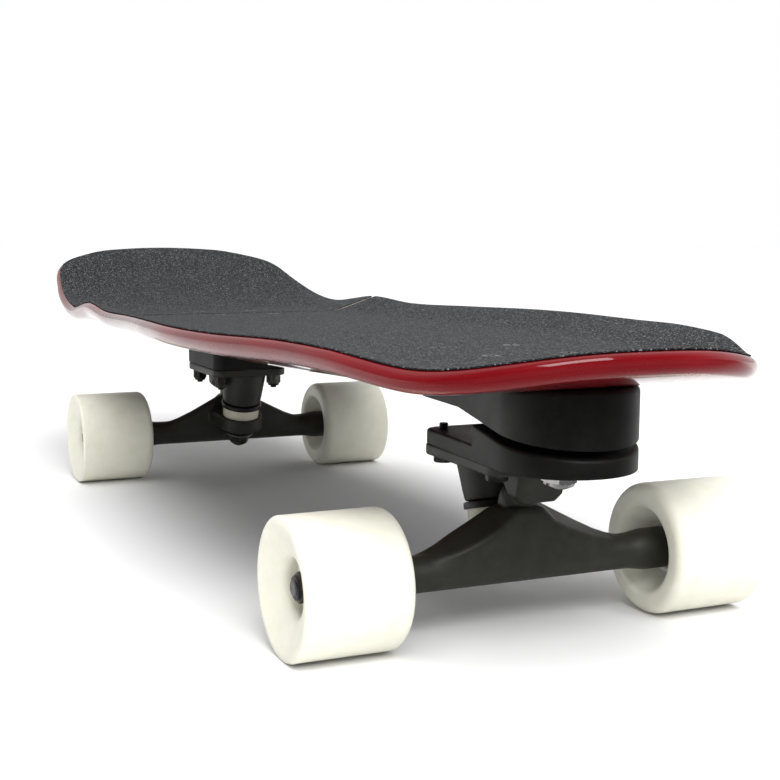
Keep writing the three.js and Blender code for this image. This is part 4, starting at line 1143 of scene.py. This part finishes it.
ringHalf = hanger["ringThickness"] / 2
seatFace = ringHalf - hanger["seatDepth"] + gap
cupFace = seatFace + stack["boardside"][0] + gap
cupTop = cupFace + stack["washer"]
bossEnd = cupTop + gap
bossLength = (board["plateTop"] - ringPlace["height"]) / math.cos(math.radians(ringPlace["kingpinLean"])) - bossEnd
lowerTop = -seatFace - stack["roadside"][0] - gap
nutTop = lowerTop - stack["washer"] - gap
kingpinEnd = nutTop - stack["nutHeight"] - stack["tail"]
kingpinHead = bossEnd + bossLength - 2 * stack["headHeight"]
pivotEnd = pivot["start"] + pivot["length"]
axleNutStart = bearingOuter + gap
axleEnd = axleNutStart + axle["nutHeight"] + axle["past"]


def filletedShape(arcs, low, topAt, fillet, steps):
    # A slab round a row of arcs (x, y, radius, start, end, points), with its bottom and top edges filleted
    rings = []
    for isTop in (False, True):
        for step in range(steps + 1):
            angle = math.pi / 2 * (steps - step if isTop else step) / steps
            inset, rise = fillet * (1 - math.sin(angle)), fillet * (1 - math.cos(angle))
            ring = []
            for middleX, middleY, radius, start, end, count in arcs:
                for turn in np.linspace(start, end, count):
                    x = middleX + (radius - inset) * math.cos(turn)
                    y = middleY + (radius - inset) * math.sin(turn)
                    ring.append(Vector((x, y, topAt(x) - rise if isTop else low + rise)))
            rings.append(ring)
    return loftShape(rings)


def slabShape(size, low, high):
    corner, quarter = size["corner"], math.pi / 2
    halfX, halfY = size["length"] / 2 - corner, size["width"] / 2 - corner
    arcs = [
        (sx * halfX, sy * halfY, corner, start * quarter, (start + 1) * quarter, cornerPoints)
        for start, (sx, sy) in enumerate(((1, 1), (-1, 1), (-1, -1), (1, -1)))
    ]
    return filletedShape(arcs, low, lambda x: high, size["edge"], size["edgeSteps"])


def housingShape():
    # The block over the pivot cup: its mouth faces down the steering axis, its front face stands up
    slope = math.radians(ringPlace["steeringLean"])
    mouth = (pivot["start"] + pivot["lip"] + gap) / math.cos(slope)
    top, low, corner = board["plateTop"], board["plateTop"] - plate["housingDrop"], plate["housingCorner"]
    points = []
    for z, inset in ((low, corner), (low + corner, 0), (top - plate["thickness"], 0), (top - touch, 0)):
        front = plate["housingReach"] - plate["housingDraft"] * (top - z) / plate["housingDrop"]
        back = mouth - ringPlace["setback"] - (z - ringPlace["height"]) * math.tan(slope)
        y = plate["housingHalfWidth"] - inset
        for side in (1, -1):
            points += [(front, side * (y - corner / 2), z), (front - corner / 2, side * y, z), (back, side * y, z)]
    return hullShape(points)


def baseplatePiece(end):
    top = board["plateTop"]
    flange = placed(slabShape(plate, top - plate["thickness"], top), shifted(-board["patternSetback"], 0, 0))
    low, high = plate["bossEndRadius"], plate["bossRootRadius"]
    edge, flareStart, flareFillet = plate["bossFlare"]
    bossTop = bossEnd + bossLength
    boss = placed(turnedShape([
        (0, bossEnd, 0), (low, bossEnd, edge), (low + edge, bossEnd + flareStart, flareFillet), (high, bossTop, 0),
        (high, bossTop + high, 0), (0, bossTop + high, 0),
    ]), kingpinFrame)
    piece = newPiece(end + "_truck_plate", combined(flange, boss, housingShape()))
    castSurface(piece, plate["voxel"], plate["softening"])
    carve(piece, blockShape((-far, -far, 0), (far, far, top - touch)), operation="INTERSECT")
    carve(
        piece, straightHoles(patternPlaces(-board["patternSetback"]), board["boltHole"], 0, far, 32, Matrix()),
        *rodsIn(kingpinFrame, (stack["pin"] + gap, 0, far), (plate["headPocket"], kingpinHead, far)),
        *rodsIn(steeringFrame, (pivot["radius"] + gap, 0, pivotEnd + gap)),
    )
    return piece


def wingRing(y):
    # The outline round three discs: the tube, the crest and the outer ridge
    away = abs(y)
    web = hanger["webRadius"]
    draw = float(np.interp(away, hanger["webEnd"], (1, hanger["drawnIn"])))
    tube, crest, ridge = (
        float(np.interp(away, *zip(*hanger[name + "Stations"]))) for name in ("tube", "crest", "ridge")
    )
    discs = [((0, 0), tube)]
    if away < hanger["webEnd"][1]:
        crest, ridge = crest - web, ridge - web
        discs += [((-hanger["crestSetback"] * draw, crest), web), ((hanger["ridgeReach"] * draw, ridge), web)]
    ring = []
    for angle in np.linspace(0, 2 * math.pi, hanger["ringPoints"], endpoint=False):
        normal = Vector((math.cos(angle), math.sin(angle)))
        _, point = max((Vector(c).dot(normal) + r, tuple(Vector(c) + normal * r)) for c, r in discs)
        ring.append(Vector((point[0], y, board["axleHeight"] + point[1])))
    return ring


def hangerPiece(end):
    inner = hangerEnd - hanger["endBand"]
    stations = np.concatenate([[-hangerEnd], np.linspace(-inner, inner, hanger["stations"]), [hangerEnd]])
    wing = loftShape([wingRing(y) for y in stations])
    steps = hanger["holeSteps"]
    rim = [
        kingpinFrame @ point for level in (-ringHalf, ringHalf)
        for point in circlePoints(hanger["ringRadius"], level, steps)
    ]
    shoulders = []
    for side in (1, -1):
        for lift in hanger["yokeLifts"]:
            centre = (-hanger["crestSetback"], side * hanger["yokeHalfWidth"], board["axleHeight"] + lift)
            shoulders += ballPoints(centre, hanger["webRadius"])
    noseEnd = pivotEnd - pivot["lip"] - gap
    nose = pivot["noseRadius"]
    neck = placed(turnedShape([
        (0, hanger["neckStart"], 0), (hanger["neckRadius"], hanger["neckStart"], 0),
        (hanger["neckRadius"], hanger["neckEnd"], 3), (nose - pivot["noseTaper"], pivot["start"], 2),
        (nose, noseEnd - nose / 2, 3), (nose / 2, noseEnd, 2), (0, noseEnd, 0),
    ]), steeringFrame)
    piece = newPiece(end + "_hanger_casting", combined(wing, hullShape(rim + shoulders), neck))
    castSurface(piece, hanger["voxel"], hanger["softening"])
    seat, seatLevel, reach = hanger["seatRadius"], ringHalf - hanger["seatDepth"], hanger["cutReach"]
    carve(
        piece, *rodsIn(shifted(0, 0, board["axleHeight"]) @ turnedBy(90, "X"), (axle["radius"] + gap, -far, far)),
        *rodsIn(
            kingpinFrame, (hanger["reliefRadius"], ringHalf, reach, 0, hanger["ringPoints"]),
            (seat, seatLevel, reach + overlap, 0, steps), (seat, -reach, -seatLevel, 0, steps),
            (hanger["ringHole"], -hanger["holeReach"], hanger["holeReach"], 0, steps),
        ),
    )
    return piece


def stackParts():
    # Pieces on the kingpin, each about +Z from the middle of the hanger's ring
    bore, washer, pin = stack["bushingBore"], stack["washer"], stack["pin"]
    boardHeight, boardRadius = stack["boardside"]
    roadHeight, roadRadius, roadEnd = stack["roadside"]
    cupRadius, cupDepth = stack["cupWasher"]
    cupInner, cupLow = cupRadius - washer, cupTop - cupDepth
    blackSteel = (steelBlack, "black_steel")
    return {
        "boardside_bushing": (
            tubeShape(bore, boardRadius, seatFace, seatFace + boardHeight, 1), creamUrethane, "cream_urethane",
        ),
        "roadside_bushing": (turnedShape([
            (bore, -seatFace - roadHeight, 0.4), (roadEnd, -seatFace - roadHeight, 0.8),
            (roadRadius, -ringHalf - gap, 1), (roadRadius, -seatFace, 0.6), (bore, -seatFace, 0.4),
        ]), blackUrethane, "black_urethane"),
        "cup_washer": (turnedShape([
            (bore, cupFace, 0.2), (cupInner, cupFace, 0.3), (cupInner, cupLow, 0.3), (cupRadius, cupLow, 0.3),
            (cupRadius, cupTop, 1.2), (bore, cupTop, 0.2),
        ]), *blackSteel),
        "lower_washer": (
            tubeShape(bore, stack["lowerWasher"], lowerTop - washer, lowerTop, 0.5), dullSteel, "bright_steel",
        ),
        "kingpin_nut": (
            lockNutShape(stack["nutAcross"], nutTop - stack["nutHeight"], nutTop, pin + touch), *blackSteel,
        ),
        "kingpin": (combined(
            threadedRod(pin, kingpinEnd, kingpinHead + overlap, stack["nutHeight"], stack["pitch"]),
            hexagonShape(stack["nutAcross"], kingpinHead + gap, kingpinHead + gap + stack["headHeight"]),
        ), *blackSteel),
    }


def pivotCupShape():
    bore = pivot["noseRadius"] + gap
    start, lip = pivot["start"], pivot["start"] + pivot["lip"]
    floor = pivotEnd - pivot["lip"]
    return turnedShape([
        (bore, start, 0.5), (pivot["lipRadius"], start, 0.5), (pivot["lipRadius"], lip, 0.3), (pivot["radius"], lip, 0),
        (pivot["radius"], pivotEnd, 0.5), (0, pivotEnd, 0), (0, floor, 0), (bore, floor, 0.5),
    ])


def axleShape():
    # Threaded at both ends, where the nuts are
    threaded = axle["nutHeight"] + axle["past"]
    end = placed(threadShape(axle["radius"], threaded, axle["pitch"]), shifted(0, 0, -axleEnd))
    plain = rodShape(axle["radius"], threaded - axleEnd - touch, axleEnd - threaded + touch)
    return combined(end, placed(end, turnedBy(180, "X")), plain)


def buildTrucks():
    parts, cup, axleRod = stackParts(), pivotCupShape(), axleShape()
    axleNut = placed(
        lockNutShape(axle["nutAcross"], 0, axle["nutHeight"], axle["radius"] + touch),
        shifted(0, 0, axleNutStart + axle["nutHeight"]) @ turnedBy(180, "X"),
    )
    for end, fixedBody in (("front", "surf_arm"), ("rear", "board")):
        place, moving = truckFrames[end], end + "_hanger"
        baseplate = (baseplatePiece(end), fixedBody, end + "_baseplate")
        for casting, body, node in (baseplate, (hangerPiece(end), moving, moving)):
            settlePiece(casting, place, turnedSharp, truckBlack, "black_casting", body, node)
        for name, (shape, material, slot) in parts.items():
            stacked = placed(shape, place @ kingpinFrame)
            node = end + "_" + name
            addPiece(node + "_piece", stacked, turnedSharp, material, slot, fixedBody, node)
        cupPlaced = placed(cup, place @ steeringFrame)
        addPiece(
            end + "_pivot_bush", cupPlaced, turnedSharp, blackUrethane, "black_urethane", fixedBody, end + "_pivot_cup"
        )
        rod = placed(axleRod, axleFrames[end] @ turnedBy(90, "X"))
        addPiece(end + "_axle_rod", rod, screwSharp, dullSteel, "bright_steel", moving, end + "_axle")
        for name in (end + "_left", end + "_right"):
            lockNut = placed(axleNut, sideFrames[name])
            addPiece(
                "axle_locknut_" + name, lockNut, screwSharp, steelBlack, "black_steel", moving, "axle_nut_" + name
            )
    print("trucks made")


buildTrucks()


# Rear riser, surf adapter and arm

adapter = {
    "rear": 42, "armRear": 37, "halfWidth": 28, "corner": 8, "edge": 3, "cutEdge": 1.6, "drumRadius": 33,
    "plate": 7.5, "wedgeStart": 21, "wedgeHeight": 13.4, "gap": 3.7, "step": 23, "recessRadius": 6.6, "recessDepth": 9,
    "armEdge": 0.7, "armTopEdge": 1.6, "edgeSteps": 6, "drumPoints": 57,
}
swivel = {
    "radius": 6, "across": 19, "headHeight": 7, "headDepth": 2.5, "thrustRadius": 21, "thrustSeat": 1.6,
    "nutAcross": 16, "nutHeight": 8.4, "washerRadius": 10, "washer": 1.6, "spotRadius": 11, "spotDepth": 1.9,
    "tail": 1.2, "bearingRadius": 14, "bearingHeight": 5, "pitch": 1.5, "cutReach": 20,
}
riser = {"length": 78, "width": 56, "corner": 8, "edge": 0.7, "edgeSteps": 5}
gapHigh = adapter["wedgeHeight"] + adapter["gap"]
headSeat = board["adapterHeight"] / math.cos(swivelTilt) - swivel["headHeight"] - swivel["headDepth"]


def padShape(rear, low, topAt, fillet):
    # Two round corners behind and a drum ahead, under a top that may slope
    corner, quarter = adapter["corner"], math.pi / 2
    x, y = patternMiddle - rear + corner, adapter["halfWidth"] - corner
    return filletedShape([
        (drumMiddle, 0, adapter["drumRadius"], -quarter, quarter, adapter["drumPoints"]),
        (x, y, corner, quarter, 2 * quarter, cornerPoints), (x, -y, corner, 2 * quarter, 3 * quarter, cornerPoints),
    ], low, topAt, fillet, adapter["edgeSteps"])


def besideSwivelPlane(distance, direction):
    low, high = (distance, distance + far) if direction > 0 else (distance - far, distance)
    return placed(blockShape((-far, -far, low), (far, far, high)), swivelFrame)


def adapterPiece():
    low = board["plateTop"] + gapHigh - adapter["drumRadius"] * math.sin(swivelTilt) - adapter["edge"]
    pad = padShape(adapter["rear"], low, lambda x: deckPlane(x) - touch, adapter["edge"])
    piece = newPiece("adapter_body", placed(pad, boardFrame))
    stepZ = board["plateTop"] + adapter["step"]
    under = newPiece("under", placed(blockShape((-far, -far, 0), (2 * far, far, stepZ)), boardFrame))
    carve(under, besideSwivelPlane(gapHigh, -1), operation="INTERSECT")
    carve(piece, takeShape(under))
    cleanMesh(piece)
    bevelEdges(piece, adapter["cutEdge"])
    carve(
        piece, straightHoles(frontBolts, adapter["recessRadius"], 0, stepZ + adapter["recessDepth"]),
        straightHoles(frontBolts, board["boltHole"], 0, far),
        *rodsIn(
            swivelFrame, (swivel["radius"] + gap, -swivel["cutReach"], far),
            (swivel["bearingRadius"] + gap, headSeat - swivel["bearingHeight"] - gap, far, 0, 64),
        ),
    )
    cleanMesh(piece)
    return piece


def armPiece():
    shape = padShape(adapter["armRear"], board["plateTop"] + touch, lambda x: frontSeat, adapter["armEdge"])
    piece = newPiece("surf_arm_plate", placed(shape, boardFrame))
    plateTop, wedgeX = board["plateTop"] + adapter["plate"], patternMiddle + adapter["wedgeStart"]
    behind = placed(blockShape((wedgeX - far, -far, plateTop), (wedgeX, far, plateTop + far)), boardFrame)
    carve(piece, besideSwivelPlane(adapter["wedgeHeight"], 1), behind)
    cleanMesh(piece)
    bevelEdges(piece, adapter["armTopEdge"])
    carve(
        piece, straightHoles(patternPlaces(patternMiddle), board["boltHole"], 0, far),
        *rodsIn(
            swivelFrame, (swivel["thrustRadius"] + gap, adapter["wedgeHeight"] - swivel["thrustSeat"], far, 0, 72),
            (swivel["spotRadius"], -swivel["cutReach"], swivel["spotDepth"], 0, 64),
            (swivel["radius"] + gap, -swivel["cutReach"] - overlap, far + overlap),
        ),
    )
    cleanMesh(piece)
    return piece


def riserPiece():
    slab = slabShape(riser, board["plateTop"] + touch, frontSeat)
    piece = newPiece("riser_block", placed(slab, boardFrame @ shifted(-patternMiddle, 0, 0)))
    onDeck = boardFrame @ shifted(0, 0, deckLevel) @ turnedBy(-math.degrees(math.atan(deckSlope)), "Y")
    carve(piece, placed(blockShape((-3 * far, -far, -touch), (3 * far, far, far)), onDeck))
    cleanMesh(piece)
    bevelEdges(piece, riser["edge"])
    carve(piece, straightHoles(rearBolts, board["boltHole"], 0, far))
    cleanMesh(piece)
    return piece


def swivelParts():
    radius, bearingLow = swivel["radius"], headSeat - swivel["bearingHeight"]
    thrustLow = adapter["wedgeHeight"] - swivel["thrustSeat"] + gap
    washerTop = swivel["spotDepth"] - gap
    nutHigh = washerTop - swivel["washer"]
    nutLow = nutHigh - swivel["nutHeight"]
    headLow = headSeat + gap
    bright = (brightSteel, "bright_steel")
    return {
        "thrust_bearing": (
            tubeShape(radius + gap, swivel["thrustRadius"], thrustLow, gapHigh - gap),
            steelBlack, "black_steel", "board",
        ),
        "swivel_bearing": (
            tubeShape(radius + gap, swivel["bearingRadius"], bearingLow, headSeat), *bright, "board",
        ),
        "swivel_bolt": (combined(
            threadedRod(radius, nutLow - swivel["tail"], headLow + overlap, swivel["nutHeight"], swivel["pitch"]),
            hexagonShape(swivel["across"], headLow, headLow + swivel["headHeight"]),
        ), *bright, "surf_arm"),
        "swivel_nut": (combined(
            tubeShape(radius + gap, swivel["washerRadius"], nutHigh, washerTop),
            lockNutShape(swivel["nutAcross"], nutLow, nutHigh + touch, radius + touch),
        ), *bright, "surf_arm"),
    }


def buildAdapter():
    finishPiece(adapterPiece(), castBlackWithPaintedShade, "black_casting", "board", "adapter_base")
    finishPiece(armPiece(), castBlackWithPaintedShade, "black_casting", "surf_arm", "swing_arm")
    finishPiece(riserPiece(), riserPlasticWithPaintedShade, "riser_plastic", "board", "rear_riser")
    for node, (shape, *finish) in swivelParts().items():
        addPiece(node + "_piece", placed(shape, swivelFrame), screwSharp, *finish, node)
    print("adapter, arm and riser made")


buildAdapter()
buildBolts(
    plate["thickness"], adapter["plate"], board["plateTop"] + adapter["step"] + adapter["recessDepth"] - gap
)


# Stage, light and camera

view = {
    "place": (814.07, -311.51, 191.02),
    "right": (0.41307, 0.91069, 0.00526),
    "up": (-0.11435, 0.04614, 0.99237),
    "focal": 1328.67,  # in pixels of a frame 780 wide
    "frame": 780,
    "sensor": 36,
    "farthest": 50,  # in metres
}
studio = {
    "floorHalf": 9, "floorDepth": 0.03, "floorRoughness": 0.8, "floorWhite": 0.9, "floorDim": 0.08,
    "bounceFrom": 0.1, "bounceTo": 0.45,  # where along X its reflection dims
    "front": (0.9, -0.35, 0.1),  # towards the camera: this side of the room is dark
    "dark": 0.06, "pale": 0.7, "darkTo": 0.55, "paleFrom": -0.25,  # of the direction's share towards the front
    "sunFrom": (0.35, -0.12, 1.0), "sunAngle": 56, "sunPower": 2.5,
}
areaLights = [
    # name, place, target, size, power, whether glossy surfaces mirror it
    ("frontKey", (1.9, -0.6, 1.3), (0.2, 0, 0.05), (1.1, 1.1), 7, False),
    ("lowFill", (1.9, -0.5, 0.35), (0.1, 0, 0.06), (0.8, 0.4), 3, False),
    ("railStreak", (1.8, 0.05, 1.55), (0.3, 0, 0.1), (1.5, 1.1), 30, True),
]


def buildCamera():
    data = bpy.data.cameras.new("camera")
    data.sensor_width = view["sensor"]
    data.lens = view["focal"] / view["frame"] * view["sensor"]
    data.clip_end = view["farthest"]
    camera = linkNew("camera", data)
    right, above = Vector(view["right"]), Vector(view["up"])
    axes = Matrix((right, above, right.cross(above))).transposed()
    camera.matrix_world = Matrix.Translation(Vector(view["place"]) * mm) @ axes.to_4x4()
    bpy.context.scene.camera = camera


def aim(light, direction):
    light.rotation_mode = "QUATERNION"
    light.rotation_quaternion = Vector(direction).to_track_quat("-Z", "Y")


def buildLights():
    sun = bpy.data.lights.new("sun", "SUN")
    sun.energy = studio["sunPower"]
    sun.angle = math.radians(studio["sunAngle"])
    overhead = linkNew("sun", sun)
    overhead.visible_glossy = False
    aim(overhead, -Vector(studio["sunFrom"]))
    for name, place, target, size, power, mirrored in areaLights:
        data = bpy.data.lights.new(name, "AREA")
        data.shape = "RECTANGLE"
        data.size, data.size_y = size
        data.energy = power
        light = linkNew(name, data)
        light.location = place
        light.visible_glossy = mirrored
        aim(light, Vector(target) - Vector(place))


def buildWorld():
    # White to the camera; everything else sees a room that is dark in front and pale behind
    world = bpy.data.worlds.new("studio")
    bpy.context.scene.world = world
    world.use_nodes = True
    tree = world.node_tree
    direction = nodeOut(tree, "ShaderNodeTexCoord", out="Generated")
    front = tuple(Vector(studio["front"]).normalized())
    share = nodeOut(tree, "ShaderNodeVectorMath", {0: direction, 1: front}, out="Value", operation="DOT_PRODUCT")
    tone = mapRange(
        tree, share, studio["paleFrom"], studio["darkTo"], studio["pale"], studio["dark"],
        interpolation_type="SMOOTHSTEP",
    )
    seen = nodeOut(tree, "ShaderNodeLightPath", out="Is Camera Ray")
    setInputs(tree, tree.nodes["Background"], {
        "Color": (1, 1, 1), "Strength": nodeMath(tree, "MAXIMUM", tone, seen),
    })


def buildStage():
    half = studio["floorHalf"] / mm
    floor = newPiece("floor", blockShape((-half, -half, -studio["floorDepth"] / mm), (half, half, 0)))
    white = studio["floorWhite"]
    material, tree, shader = newMaterial("floorWhite", {
        "Roughness": studio["floorRoughness"], "Specular IOR Level": 0.0,
    })
    # White, but its reflection in the lacquer dims ahead of the board, as the dark end of a studio does
    place = nodeOut(tree, "ShaderNodeTexCoord", out="Object")
    bounce = mapRange(
        tree, nodeOut(tree, "ShaderNodeSeparateXYZ", {0: place}), studio["bounceFrom"], studio["bounceTo"], white,
        studio["floorDim"],
    )
    mirrored = nodeOut(tree, "ShaderNodeLightPath", out="Is Glossy Ray")
    setInputs(tree, shader, {"Base Color": mixColors(tree, mirrored, (white, white, white), bounce)})
    floor.data.materials.append(material)
    bpy.context.scene.view_settings.view_transform = "Standard"
    print("stage, lights and camera set")


buildCamera()
buildLights()
buildWorld()
buildStage()
